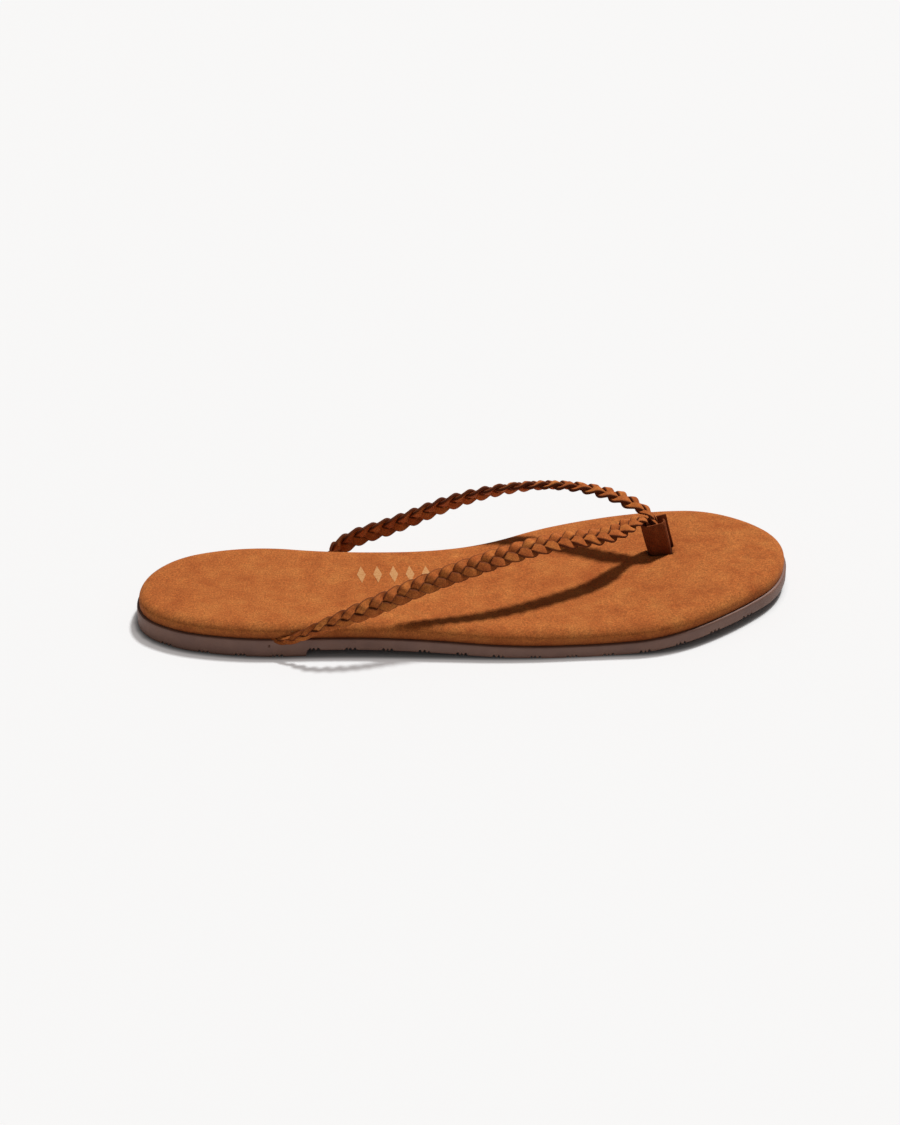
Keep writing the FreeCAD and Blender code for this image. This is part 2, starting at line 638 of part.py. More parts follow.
os.makedirs("parts", exist_ok=True)
for node in nodes:
    node.Shape.exportStep("parts/%s.step" % node.Label)
for strap in straps:
    print("%s strap %.1f mm long" % (strap.name, strap.length))
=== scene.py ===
"""A right-foot thong sandal: rubber outsole, nubuck footbed, two plaited straps and a toe post.

Metres. +X runs to the toe, +Y to the big-toe side, +Z up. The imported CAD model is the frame: the
pieces made here stand for its nodes, at the same sizes and in the same places.
"""
import logging
import math
from collections.abc import Callable, Sequence
from dataclasses import dataclass, field
from enum import Enum

import bpy
import numpy as np
from mathutils import Matrix, Vector, geometry, noise


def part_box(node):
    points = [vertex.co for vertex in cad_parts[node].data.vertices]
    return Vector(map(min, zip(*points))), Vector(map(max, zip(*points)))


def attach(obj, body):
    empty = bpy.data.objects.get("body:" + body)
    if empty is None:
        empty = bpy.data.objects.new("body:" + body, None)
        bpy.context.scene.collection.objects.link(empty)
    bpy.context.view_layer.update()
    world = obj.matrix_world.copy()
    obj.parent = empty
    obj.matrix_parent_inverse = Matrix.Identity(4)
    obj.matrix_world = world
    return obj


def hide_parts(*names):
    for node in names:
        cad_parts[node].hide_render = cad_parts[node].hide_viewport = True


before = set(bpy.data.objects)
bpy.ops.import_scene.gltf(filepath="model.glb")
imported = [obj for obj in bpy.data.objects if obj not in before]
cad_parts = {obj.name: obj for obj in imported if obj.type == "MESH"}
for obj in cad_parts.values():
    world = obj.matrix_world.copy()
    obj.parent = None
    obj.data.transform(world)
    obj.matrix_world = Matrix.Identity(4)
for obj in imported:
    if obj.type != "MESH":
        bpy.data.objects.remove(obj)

LOG = logging.getLogger("flip_flop")
MM = 0.001
BODY = "root"


# ---------------------------------------------------------------- nodes and colours

def srgb(code: str, alpha: float = 1.0) -> tuple[float, float, float, float]:
    """Turn an sRGB hex colour into linear RGBA.

    Args:
        code: Six hex digits.
        alpha: Opacity.

    Returns:
        Linear red, green and blue, and the opacity.
    """
    parts = [int(code[place:place + 2], 16) / 255 for place in (0, 2, 4)]
    linear = [part / 12.92 if part <= 0.04045 else ((part + 0.055) / 1.055) ** 2.4
              for part in parts]
    return (*linear, alpha)


def add_node(tree: bpy.types.NodeTree, kind: str, inputs: dict | tuple = (),
             stops: Sequence[tuple[float, str]] = (), **settings: object) -> bpy.types.Node:
    """Add one node with its settings, and set or link its inputs.

    Args:
        tree: The shader or geometry tree.
        kind: The node's type name.
        inputs: Values, sockets, or nodes that stand for their first outputs, by the input's name
            or number, or in the inputs' order.
        stops: Place and sRGB hex colour of each stop of a colour ramp.
        settings: The node's own properties.

    Returns:
        The new node.
    """
    made = tree.nodes.new(kind)
    for key, value in settings.items():
        setattr(made, key, value)
    for key, value in (inputs if isinstance(inputs, dict) else dict(enumerate(inputs))).items():
        if isinstance(value, bpy.types.Node):
            value = value.outputs[0]
        if isinstance(value, bpy.types.NodeSocket):
            tree.links.new(value, made.inputs[key])
        else:
            made.inputs[key].default_value = value
    if stops:
        elements = made.color_ramp.elements
        while len(elements) < len(stops):
            elements.new(0.5)
        for element, (place, code) in zip(elements, stops):
            element.position = place
            element.color = srgb(code)
    return made


def start_material(name: str, **constants: object) -> tuple[bpy.types.Material, bpy.types.Node]:
    """Make a node material.

    Args:
        name: The material's name.
        constants: Values for the shader's own sockets, spaces written as underscores.

    Returns:
        The material and its Principled shader.
    """
    material = bpy.data.materials.new(name)
    material.use_nodes = True
    shader = material.node_tree.nodes["Principled BSDF"]
    for key, value in constants.items():
        shader.inputs[key.replace("_", " ")].default_value = value
    return material, shader


def dress_shader(tree: bpy.types.NodeTree, shader: bpy.types.Node, colour: bpy.types.NodeSocket,
                 height: bpy.types.Node, depth: float, strength: float = 1.0) -> None:
    """Give a shader its colour, and its relief as a bump.

    Args:
        tree: The material's tree.
        shader: Its Principled shader.
        colour: The colour.
        height: The pattern that stands out.
        depth: How far the pattern stands out, in metres.
        strength: Share of the relief that shows.
    """
    tree.links.new(colour, shader.inputs["Base Color"])
    bump = add_node(tree, "ShaderNodeBump",
                    {"Height": height, "Distance": depth, "Strength": strength})
    tree.links.new(bump.outputs["Normal"], shader.inputs["Normal"])


# ---------------------------------------------------------------- finishes

@dataclass(frozen=True)
class Nubuck:
    """Cowhide nubuck: the grain side is sanded to a short, even nap.

    It looks dead matt and soft, mottled where the nap lies different ways, with a fine grain. Where
    a piece's edge attribute asks, it is painted darker: painted shade at the footbed's seam, at the
    post's foot and along the laces' edges.
    """

    name: str
    dark: str
    body: str
    light: str
    # The colour of the painted shade that the edge attribute mixes in.
    edge: str
    mottle: float = 13 * MM
    streak: float = 4 * MM
    # The nap's fibres are about 0.1 mm; they are drawn four times as coarse so that they show.
    nap: float = 0.42 * MM
    relief: float = 0.05 * MM
    sheen: float = 0.15
    # The brush strokes run lengthways.
    brush_scale: tuple[float, float, float] = (0.6, 1.0, 1.0)
    # How much of the brush strokes, of the grain and of the coarser flecks shows in the colour.
    stroke_share: float = 0.35
    grain_share: float = 0.6
    fleck_share: float = 0.7

    def make(self) -> bpy.types.Material:
        """Build the material.

        Returns:
            The material.
        """
        material, shader = start_material(self.name, Roughness=0.92, Sheen_Weight=self.sheen,
                                          Sheen_Roughness=0.45, Specular_IOR_Level=0.22,
                                          Sheen_Tint=srgb(self.light))
        tree = material.node_tree
        place = add_node(tree, "ShaderNodeTexCoord").outputs["Object"]
        brushed = add_node(tree, "ShaderNodeMapping",
                           {"Vector": place, "Scale": self.brush_scale})
        mottle, brush, grain, fleck = (
            add_node(tree, "ShaderNodeTexNoise",
                     {"Vector": where, "Scale": 1 / size, "Detail": detail, "Roughness": rough})
            for where, size, detail, rough in (
                (place, self.mottle, 4.0, 0.6), (brushed, self.streak, 3.0, 0.55),
                (place, self.nap, 2.0, 0.7), (place, 2 * self.nap, 1.0, 0.55)))
        patches, strokes, speckle, flecks = (
            add_node(tree, "ShaderNodeValToRGB", (pattern,), stops) for pattern, stops in (
                (mottle, [(0.30, self.dark), (0.50, self.body), (0.72, self.light)]),
                (brush, [(0.25, self.dark), (0.55, self.body), (0.8, self.light)]),
                (grain, [(0.3, "9A9A9A"), (0.5, "DCDCDC"), (0.7, "FFFFFF")]),
                (fleck, [(0.3, "C4C4C4"), (0.7, "FFFFFF")])))
        # The edge attribute mixes in painted shade at the seam, the post's foot and the laces'
        # edges.
        edge = add_node(tree, "ShaderNodeAttribute", attribute_name="edge").outputs["Fac"]
        colour = patches.outputs["Color"]
        for share, layer, mode in ((self.stroke_share, strokes, "MIX"),
                                   (self.grain_share, speckle, "MULTIPLY"),
                                   (self.fleck_share, flecks, "MULTIPLY"),
                                   (edge, srgb(self.edge), "MIX")):
            colour = add_node(tree, "ShaderNodeMix", {0: share, 6: colour, 7: layer},
                              data_type="RGBA", blend_type=mode).outputs[2]
        dress_shader(tree, shader, colour, grain, self.relief, strength=0.8)
        return material


@dataclass(frozen=True)
class Rubber:
    """Moulded synthetic rubber from a spark-eroded mould.

    It looks dull with a broad, weak gloss, faintly pebbled, and the same colour right through.
    """

    name: str
    body: str
    worn: str
    cloud: float = 9 * MM
    gloss: float = 3 * MM
    pebble: float = 0.5 * MM
    relief: float = 0.03 * MM

    def make(self) -> bpy.types.Material:
        """Build the material.

        Returns:
            The material.
        """
        material, shader = start_material(self.name, IOR=1.52)
        tree = material.node_tree
        place = add_node(tree, "ShaderNodeTexCoord").outputs["Object"]
        cloud, gloss, pebbles = (
            add_node(tree, "ShaderNodeTexNoise",
                     {"Vector": place, "Scale": 1 / size, "Detail": detail, "Roughness": 0.55})
            for size, detail in ((self.cloud, 3.0), (self.gloss, 3.0), (self.pebble, 2.0)))
        colour = add_node(tree, "ShaderNodeValToRGB", (cloud,),
                          [(0.3, self.body), (0.75, self.worn)])
        rough = add_node(tree, "ShaderNodeMapRange",
                         {"Value": gloss, "To Min": 0.45, "To Max": 0.68})
        tree.links.new(rough.outputs[0], shader.inputs["Roughness"])
        dress_shader(tree, shader, colour.outputs["Color"], pebbles, self.relief)
        return material


@dataclass(frozen=True)
class Foil:
    """Hot-stamped metal foil, pressed into the nap.

    It looks pale gold with a soft gleam, thin enough for the nap to break it up.
    """

    name: str
    body: str
    worn: str
    grain: float = 0.7 * MM
    relief: float = 0.03 * MM

    def make(self) -> bpy.types.Material:
        """Build the material.

        Returns:
            The material.
        """
        material, shader = start_material(self.name, Metallic=0.35, Roughness=0.5)
        tree = material.node_tree
        place = add_node(tree, "ShaderNodeTexCoord").outputs["Object"]
        wear = add_node(tree, "ShaderNodeTexNoise", {"Vector": place, "Scale": 1 / self.grain,
                                                     "Detail": 3.0, "Roughness": 0.7})
        colour = add_node(tree, "ShaderNodeValToRGB", (wear,),
                          [(0.38, self.worn), (0.5, self.body)])
        dress_shader(tree, shader, colour.outputs["Color"], wear, self.relief)
        return material


class Build(Enum):
    """How hidden stock is made: its fleck and relief in millimetres, and its fleck's squeeze."""

    FOAM = (0.6, 0.15, 1.0)
    FIBREBOARD = (1.4, 0.05, 1.0)
    FELT = (0.9, 0.20, 1.0)
    SPLIT_LEATHER = (0.5, 0.08, 1.0)
    WEBBING = (1.0, 0.25, 3.0)


@dataclass(frozen=True)
class HiddenStock:
    """Foam, board, felt, split leather or webbing inside the shoe: dull and finely flecked."""

    name: str
    build: Build
    dark: str
    light: str

    def make(self) -> bpy.types.Material:
        """Build the material.

        Returns:
            The material.
        """
        material, shader = start_material(self.name, Roughness=0.95)
        tree = material.node_tree
        fleck, relief, squeeze = self.build.value
        place = add_node(tree, "ShaderNodeTexCoord").outputs["Object"]
        squeezed = add_node(tree, "ShaderNodeMapping",
                            {"Vector": place, "Scale": (1.0, squeeze, 1.0)})
        flecks = add_node(tree, "ShaderNodeTexNoise",
                          {"Vector": squeezed, "Scale": 1 / (fleck * MM), "Detail": 3.0,
                           "Roughness": 0.55})
        colour = add_node(tree, "ShaderNodeValToRGB", (flecks,),
                          [(0.35, self.dark), (0.65, self.light)])
        dress_shader(tree, shader, colour.outputs["Color"], flecks, relief * MM)
        return material


@dataclass(frozen=True)
class StudioFloor:
    """Matt white sweep that glows a little, so that shadows on it stay pale away from the shoe."""

    name: str
    body: str
    glow: str

    def make(self) -> bpy.types.Material:
        """Build the material.

        Returns:
            The material.
        """
        material, shader = start_material(self.name, Roughness=0.9, Base_Color=srgb(self.body),
                                          Emission_Color=srgb(self.glow))
        glow = add_node(material.node_tree, "ShaderNodeAttribute", attribute_name="glow")
        material.node_tree.links.new(glow.outputs["Fac"], shader.inputs["Emission Strength"])
        return material


# ---------------------------------------------------------------- mesh helpers

def make_piece(name: str, points: Sequence, faces: Sequence[Sequence[int]],
               material: bpy.types.Material, smooth: bool = True) -> bpy.types.Object:
    """Make a mesh object at the origin, its place in its mesh.

    Args:
        name: The piece's name.
        points: Vertex places, in metres.
        faces: Vertex numbers of each face.
        material: The finish.
        smooth: Whether its faces shade smoothly.

    Returns:
        The object, in the scene.
    """
    mesh = bpy.data.meshes.new(name)
    mesh.from_pydata([tuple(point) for point in points], [], [tuple(face) for face in faces],
                     shade_flat=not smooth)
    mesh.materials.append(material)
    piece = bpy.data.objects.new(name, mesh)
    bpy.context.collection.objects.link(piece)
    return piece


def settle(piece: bpy.types.Object) -> bpy.types.Object:
    """Turn a piece and its modifiers into a plain mesh.

    Args:
        piece: An object with modifiers.

    Returns:
        The same object with the evaluated mesh and no modifiers.
    """
    graph = bpy.context.evaluated_depsgraph_get()
    mesh = bpy.data.meshes.new_from_object(piece.evaluated_get(graph), depsgraph=graph)
    piece.modifiers.clear()
    piece.data = mesh
    mesh.name = piece.name
    return piece


def store(mesh: bpy.types.Mesh, name: str, values: Sequence, kind: str = "FLOAT") -> None:
    """Keep a value for each point of a mesh, for its finish or its tree to read.

    Args:
        mesh: The mesh.
        name: The attribute's name.
        values: A number, or a vector, for each point.
        kind: The attribute's data type.
    """
    attribute = mesh.attributes.new(name, kind, "POINT")
    attribute.data.foreach_set("vector" if kind == "FLOAT_VECTOR" else "value", np.ravel(values))


def start_tree(name: str, **inputs: str,
               ) -> tuple[bpy.types.NodeTree, Sequence[bpy.types.NodeSocket]]:
    """Start a Geometry Nodes tree that takes and gives geometry.

    Args:
        name: The tree's name.
        inputs: The kind of each further input, by the input's name.

    Returns:
        The tree and the sockets of its inputs.
    """
    tree = bpy.data.node_groups.new(name, "GeometryNodeTree")
    for way in ("INPUT", "OUTPUT"):
        tree.interface.new_socket("Geometry", in_out=way, socket_type="NodeSocketGeometry")
    for label, kind in inputs.items():
        tree.interface.new_socket(label, in_out="INPUT", socket_type="NodeSocket" + kind)
    return tree, add_node(tree, "NodeGroupInput").outputs


def end_tree(tree: bpy.types.NodeTree, made: bpy.types.Node, finish: bpy.types.NodeSocket) -> None:
    """End a tree: its instances are made real, and get their finish.

    Args:
        tree: The tree.
        made: The node that gives the geometry.
        finish: The tree's input for the material.
    """
    real = add_node(tree, "GeometryNodeRealizeInstances", (made,))
    dressed = add_node(tree, "GeometryNodeSetMaterial", {"Geometry": real, "Material": finish})
    add_node(tree, "NodeGroupOutput", (dressed,))


def grow(piece: bpy.types.Object, tree: bpy.types.NodeTree, **given: object) -> bpy.types.Object:
    """Run a tree on a piece, and keep what it makes as a plain mesh.

    Args:
        piece: The object that the tree starts from.
        tree: The Geometry Nodes tree.
        given: Values of the tree's inputs, by their names.

    Returns:
        The same object with its new mesh.
    """
    modifier = piece.modifiers.new(tree.name, "NODES")
    modifier.node_group = tree
    for item in tree.interface.items_tree:
        if item.in_out == "INPUT" and item.name in given:
            modifier[item.identifier] = given[item.name]
    return settle(piece)


def hand_over(piece: bpy.types.Object, slot: str, *nodes: str) -> None:
    """Give a finished piece its body, and hide the CAD nodes that it stands for.

    Args:
        piece: The finished piece.
        slot: The record's material slot; not used.
        nodes: CAD nodes that the piece replaces.
    """
    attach(piece, BODY)
    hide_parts(*nodes)
    LOG.info("%s: %d faces", piece.name, len(piece.data.polygons))


# ---------------------------------------------------------------- the sole's shape

@dataclass(frozen=True)
class Arc:
    """An arc in the plan or in side view, from a place, along a heading, turning evenly."""

    start: np.ndarray
    heading: np.ndarray
    end: np.ndarray

    def sample(self, spacing: float) -> tuple[np.ndarray, np.ndarray]:
        """Points along the arc, its end left out.

        Args:
            spacing: Distance from point to point.

        Returns:
            Places and headings.
        """
        chord = self.end - self.start
        length = float(np.hypot(*chord))
        left = np.array([-self.heading[1], self.heading[0]])
        half = math.atan2(float(left @ chord), float(self.heading @ chord))
        straight = abs(half) < 1e-6
        run = length if straight else length * half / math.sin(half)
        steps = max(2, round(run / spacing))
        share = np.arange(steps) / steps
        turn = (2 * half * share)[:, None]
        headings = np.cos(turn) * self.heading + np.sin(turn) * left
        if straight:
            return self.start + share[:, None] * chord, headings
        radius = length / (2 * math.sin(half))
        places = self.start + radius * (np.sin(turn) * self.heading + (1 - np.cos(turn)) * left)
        return places, headings


def biarc(start: np.ndarray, heading: np.ndarray, end: np.ndarray,
          end_heading: np.ndarray) -> list[Arc]:
    """Two tangent arcs that join two places with the headings given.

    Args:
        start: First place.
        heading: Heading there.
        end: Last place.
        end_heading: Heading there.

    Returns:
        The two arcs.
    """
    gap, both = end - start, heading + end_heading
    bend = 2 * (1 - heading @ end_heading)
    if bend < 1e-9:
        reach = gap @ gap / (2 * gap @ both)
    else:
        reach = (math.sqrt((gap @ both) ** 2 + bend * (gap @ gap)) - gap @ both) / bend
    joint = (start + end + (heading - end_heading) * reach) / 2
    towards = joint - start
    back = 2 * towards * (heading @ towards) / (towards @ towards) - heading
    return [Arc(start, heading, joint), Arc(joint, back, end)]


@dataclass
class Sole:
    """The sole's plan and side line, as the CAD model has them, and the heights of its layers.

    The length and width come from the frame. Reaches are from the centre line; stations count from
    the heel end or, where they say so, from the toe end.
    """

    heel_shift: float = 6.5 * MM
    toe_shift: float = 9.0 * MM
    heel_outer: tuple[float, float] = (22.0 * MM, 29.6 * MM)
    heel_inner: tuple[float, float] = (24.0 * MM, 23.2 * MM)
    waist_outer: tuple[float, float] = (95.0 * MM, 37.7 * MM)
    waist_inner: tuple[float, float] = (100.0 * MM, 19.8 * MM)
    toe_outer: tuple[float, float] = (37.0 * MM, 36.2 * MM)
    toe_inner: tuple[float, float] = (18.0 * MM, 35.8 * MM)
    ball_outer: float = 94.0 * MM
    ball_inner: float = 57.0 * MM
    heel_lift: float = 2.6 * MM
    toe_spring: float = 3.0 * MM
    drop_station: float = 78.0 * MM
    tread_station: float = 86.0 * MM
    spring_station: float = 22.0 * MM
    heel_block: float = 64.0 * MM
    outsole_top: float = 5.0 * MM
    cover_top: float = 10.9 * MM
    lip: float = 1.0 * MM
    # Size and height of the cover's soft swells, which are longer than wide, and of its ripples.
    swell_size: float = 34 * MM
    swell: float = 0.16 * MM
    swell_stretch: float = 1.3
    ripple_size: float = 9 * MM
    ripple: float = 0.03 * MM
    half_length: float = field(init=False)
    half_width: float = field(init=False)

    def __post_init__(self) -> None:
        """Read the overall sizes from the frame."""
        low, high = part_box("outsole")
        self.half_length = (high.x - low.x) / 2
        self.half_width = (high.y - low.y) / 2

    def outline(self, spacing: float) -> tuple[np.ndarray, np.ndarray]:
        """The plan outline, anticlockwise from the rearmost point.

        Args:
            spacing: Distance from point to point.

        Returns:
            Places and outward directions.
        """
        half = self.half_length
        rows = [
            ((-half, -self.heel_shift), (0, -1)),
            ((self.heel_outer[0] - half, -self.heel_outer[1]), None),
            ((self.waist_outer[0] - half, -self.waist_outer[1]), None),
            ((half - self.ball_outer, -self.half_width), (1, 0)),
            ((half - self.toe_outer[0], -self.toe_outer[1]), None),
            ((half, self.toe_shift), (0, 1)),
            ((half - self.toe_inner[0], self.toe_inner[1]), None),
            ((half - self.ball_inner, self.half_width), (-1, 0)),
            ((self.waist_inner[0] - half, self.waist_inner[1]), (-1, 0)),
            ((self.heel_inner[0] - half, self.heel_inner[1]), None),
        ]
        places = [np.array(place, float) for place, _ in rows]
        headings = []
        for index, (_, heading) in enumerate(rows):
            if heading is None:
                heading = places[(index + 1) % len(rows)] - places[index - 1]
            way = np.array(heading, float)
            headings.append(way / np.hypot(*way))
        points, outwards = [], []
        for index in range(len(rows)):
            after = (index + 1) % len(rows)
            for arc in biarc(places[index], headings[index], places[after], headings[after]):
                at, along = arc.sample(spacing)
                points.append(at)
                outwards.append(np.stack([along[:, 1], -along[:, 0]], axis=1))
        return np.concatenate(points), np.concatenate(outwards)

    def underside(self, x: np.ndarray | float) -> np.ndarray:
        """Height of the underside line: level runs joined by two-arc bends.

        Args:
            x: Stations in the frame.

        Returns:
            The heights.
        """
        knots = [(self.drop_station - self.half_length, self.heel_lift),
                 (self.half_length - self.tread_station, 0.0),
                 (self.half_length - self.spring_station, self.toe_spring)]
        x = np.asarray(x, float)
        height = np.full(x.shape, self.heel_lift)
        for (x0, z0), (x1, z1) in zip(knots, knots[1:]):
            half_run, half_rise = (x1 - x0) / 2, abs(z1 - z0) / 2
            radius = (half_run ** 2 + half_rise ** 2) / (2 * half_rise)
            near = np.clip(x, x0, x1)
            first = near < x0 + half_run
            offset = np.where(first, near - x0, x1 - near)
            sag = (radius - np.sqrt(radius ** 2 - offset ** 2)) * np.sign(z1 - z0)
            bent = np.where(first, z0 + sag, z1 - sag)
            height = np.where(x >= x0, bent, height)
        return height

    def cover_height(self, x: float, y: float) -> float:
        """Height of the footbed's top, with the soft unevenness of padding under leather.

        Args:
            x: Station.
            y: Place across.

        Returns:
            The height above the ground.
        """
        swell = noise.noise(Vector((x, y * self.swell_stretch, 0.0)) / self.swell_size) * self.swell
        ripple = noise.noise(Vector((x, y, 5.0)) / self.ripple_size) * self.ripple
        return float(self.underside(x)) + self.cover_top + swell + ripple


def fill_inside(ring: np.ndarray, inner: np.ndarray, hole: np.ndarray | None = None,
                clearance: float = 0.6 * MM) -> tuple[np.ndarray, list[tuple[int, ...]]]:
    """Triangles that fill a ring, through free points inside it.

    Args:
        ring: The closed outline, in plan.
        inner: Points inside it.
        hole: A closed outline that is left open.
        clearance: How near to an outline a free point may be.

    Returns:
        Plan places, the ring's own first, and the triangles.
    """
    clear = np.ones(len(inner), bool)
    for px, py, wanted in ([(*ring.T, True)] + ([(*hole.T, False)] if hole is not None else [])):
        x, y = inner[:, 0:1], inner[:, 1:2]
        ax, ay, bx, by = px, py, np.roll(px, -1), np.roll(py, -1)
        crosses = ((ay > y) != (by > y)) & (x < (bx - ax) * (y - ay) / (by - ay + 1e-15) + ax)
        inside = crosses.sum(axis=1) % 2 == 1
        near = np.sqrt((x - ax) ** 2 + (y - ay) ** 2).min(axis=1) < clearance
        clear &= (inside == wanted) & ~near
    loops = [ring] if hole is None else [ring, hole]
    places = np.concatenate(loops + [inner[clear]])
    edges, start = [], 0
    for loop in loops:
        count = len(loop)
        edges += [(start + number, start + (number + 1) % count) for number in range(count)]
        start += count
    # The triangulation compares places exactly, so it works in millimetres.
    flat, _, triangles, origins, *_ = geometry.delaunay_2d_cdt(
        [Vector(place) / MM for place in places], edges, [], 1, 1e-5)
    number_of = {index: made[0] for index, made in enumerate(origins) if made}
    faces = [tuple(number_of[corner] for corner in face) for face in triangles]
    if hole is not None:
        span = (hole.min(axis=0), hole.max(axis=0))
        middles = [places[list(face)].mean(axis=0) for face in faces]
        inside = [bool(np.all(m > span[0]) and np.all(m < span[1]))
                  and all(len(ring) <= corner < len(ring) + len(hole) for corner in face)
                  for m, face in zip(middles, faces)]
        faces = [face for face, drop in zip(faces, inside) if not drop]
    assert len(flat) == len(places)
    turned = []
    for a, b, c in faces:
        area = np.cross(places[b] - places[a], places[c] - places[a])
        turned.append((a, b, c) if area > 0 else (a, c, b))
    return places, turned


# Rows of equal triangles stand this share of a side apart.
ROW_SHARE = 0.866


def grid_inside(low: np.ndarray, high: np.ndarray, pitch: float) -> np.ndarray:
    """A staggered grid of points over a box.

    Args:
        low: Lowest corner.
        high: Highest corner.
        pitch: Point to point.

    Returns:
        The points.
    """
    rows = []
    for number, y in enumerate(np.arange(low[1], high[1], pitch * ROW_SHARE)):
        x = np.arange(low[0] + (number % 2) * pitch / 2, high[0], pitch)
        rows.append(np.stack([x, np.full(x.shape, y)], axis=1))
    return np.concatenate(rows)


def strips(start: int, count: int, rings: int) -> list[tuple[int, int, int, int]]:
    """Quads between closed rings of points that follow one another.

    Args:
        start: Number of the first ring's first point.
        count: Points in a ring.
        rings: How many rings.

    Returns:
        The quads.
    """
    faces = []
    for ring in range(rings - 1):
        base = start + ring * count
        for number in range(count):
            after = (number + 1) % count
            faces.append((base + number, base + after, base + count + after, base + count + number))
    return faces


# ---------------------------------------------------------------- outsole

@dataclass
class Outsole:
    """The moulded outsole: level lip, rounded edges, heel block and tread grooves in threes."""

    sole: Sole
    spacing: float = 0.45 * MM
    groove: float = 0.8 * MM
    groove_depth: float = 0.9 * MM
    groove_pitch: float = 1.6 * MM
    grooves: int = 3
    group_pitch: float = 14.0 * MM
    group_start: float = 9.0 * MM
    # Inset and drop of the top edge's rings, then inset and rise of the tread edge's.
    top_edge: tuple[tuple[float, float], ...] = (
        (0.45 * MM, 0.0), (0.13 * MM, 0.12 * MM), (0.0, 0.45 * MM), (0.0, 1.6 * MM))
    tread_edge: tuple[tuple[float, float], ...] = (
        (0.0, 1.1 * MM), (0.04 * MM, 0.55 * MM), (0.2 * MM, 0.18 * MM), (0.6 * MM, 0.0),
        (1.2 * MM, 0.0))
    ledge: float = 1.4 * MM
    crease: float = 48.0
    tread_pitch: float = 2.5 * MM
    top_pitch: float = 8.0 * MM
    groove_slope: float = 0.05 * MM

    def groove_starts(self) -> list[float]:
        """Lay out the tread grooves.

        Returns:
            The stations where they start.
        """
        starts, x = [], -self.sole.half_length + self.group_start
        while x < self.sole.half_length - self.group_start:
            starts += [x + number * self.groove_pitch for number in range(self.grooves)]
            x += self.group_pitch
        return starts

    def top(self, x: np.ndarray) -> np.ndarray:
        """Height of the outsole's top at some stations."""
        return self.sole.underside(x) + self.sole.outsole_top

    def bottom(self, x: np.ndarray) -> np.ndarray:
        """Height of the tread surface.

        Args:
            x: Stations.

        Returns:
            The heights, grooves and heel block counted in.
        """
        block_front = self.sole.heel_block - self.sole.half_length
        height = np.where(x < block_front, 0.0, self.sole.underside(x))
        for start in self.groove_starts():
            cut = (x > start) & (x < start + self.groove)
            height = height + np.where(cut, self.groove_depth, 0.0)
        return height

    def build(self, finish: Rubber) -> bpy.types.Object:
        """Make the outsole.

        Args:
            finish: The rubber.

        Returns:
            The piece.
        """
        outline, outward = self.sole.outline(self.spacing)
        top, bottom = self.top(outline[:, 0]), self.bottom(outline[:, 0])
        rows = [(self.sole.lip + self.ledge, top)]
        rows += [(inset, top - drop) for inset, drop in self.top_edge]
        rows += [(inset, bottom + rise) for inset, rise in self.tread_edge]
        count = len(outline)
        points = [np.column_stack([outline - outward * inset, height]) for inset, height in rows]
        # The rings run from the top's inner edge down to the tread, so their quads look outwards.
        faces = [face[::-1] for face in strips(0, count, len(rows))]
        corner = np.array([self.sole.half_length, self.sole.half_width])
        tread = self.fill(outline - outward * rows[-1][0], self.tread_points(), self.bottom)
        crown = self.fill(outline - outward * rows[0][0],
                          grid_inside(-corner, corner, self.top_pitch), self.top)
        total = count * len(rows)
        for (fresh, triangles), ring, flip in ((tread, total - count, True), (crown, 0, False)):
            numbers = [*range(ring, ring + count), *range(total, total + len(fresh) - count)]
            for triangle in triangles:
                a, b, c = (numbers[corner] for corner in triangle)
                faces.append((a, c, b) if flip else (a, b, c))
            points.append(fresh[count:])
            total += len(fresh) - count
        piece = make_piece("moulded_outsole", np.concatenate(points), faces, finish.make())
        piece.data.set_sharp_from_angle(angle=math.radians(self.crease))
        return piece

    def tread_points(self) -> np.ndarray:
        """Lay points in rows on both sides of every groove edge and of the heel block's front.

        Returns:
            The points.
        """
        edges = [self.sole.heel_block - self.sole.half_length]
        for start in self.groove_starts():
            edges += [start, start + self.groove]
        rows = [x + side for x in edges for side in (-self.groove_slope, self.groove_slope)]
        across = np.arange(-self.sole.half_width, self.sole.half_width, self.tread_pitch)
        return np.concatenate([np.stack([np.full(across.shape, x), across], axis=1) for x in rows])

    def fill(self, ring: np.ndarray, inner: np.ndarray, height: Callable[[np.ndarray], np.ndarray],
             ) -> tuple[np.ndarray, list[tuple[int, ...]]]:
        """Fill a ring and stand its points at a height.

        Args:
            ring: The closed ring, in plan.
            inner: Points inside it.
            height: Height at a station.

        Returns:
            Places, the ring's own first, and the triangles.
        """
        flat, triangles = fill_inside(ring, inner)
        return np.column_stack([flat, height(flat[:, 0])]), triangles


# ---------------------------------------------------------------- toe post

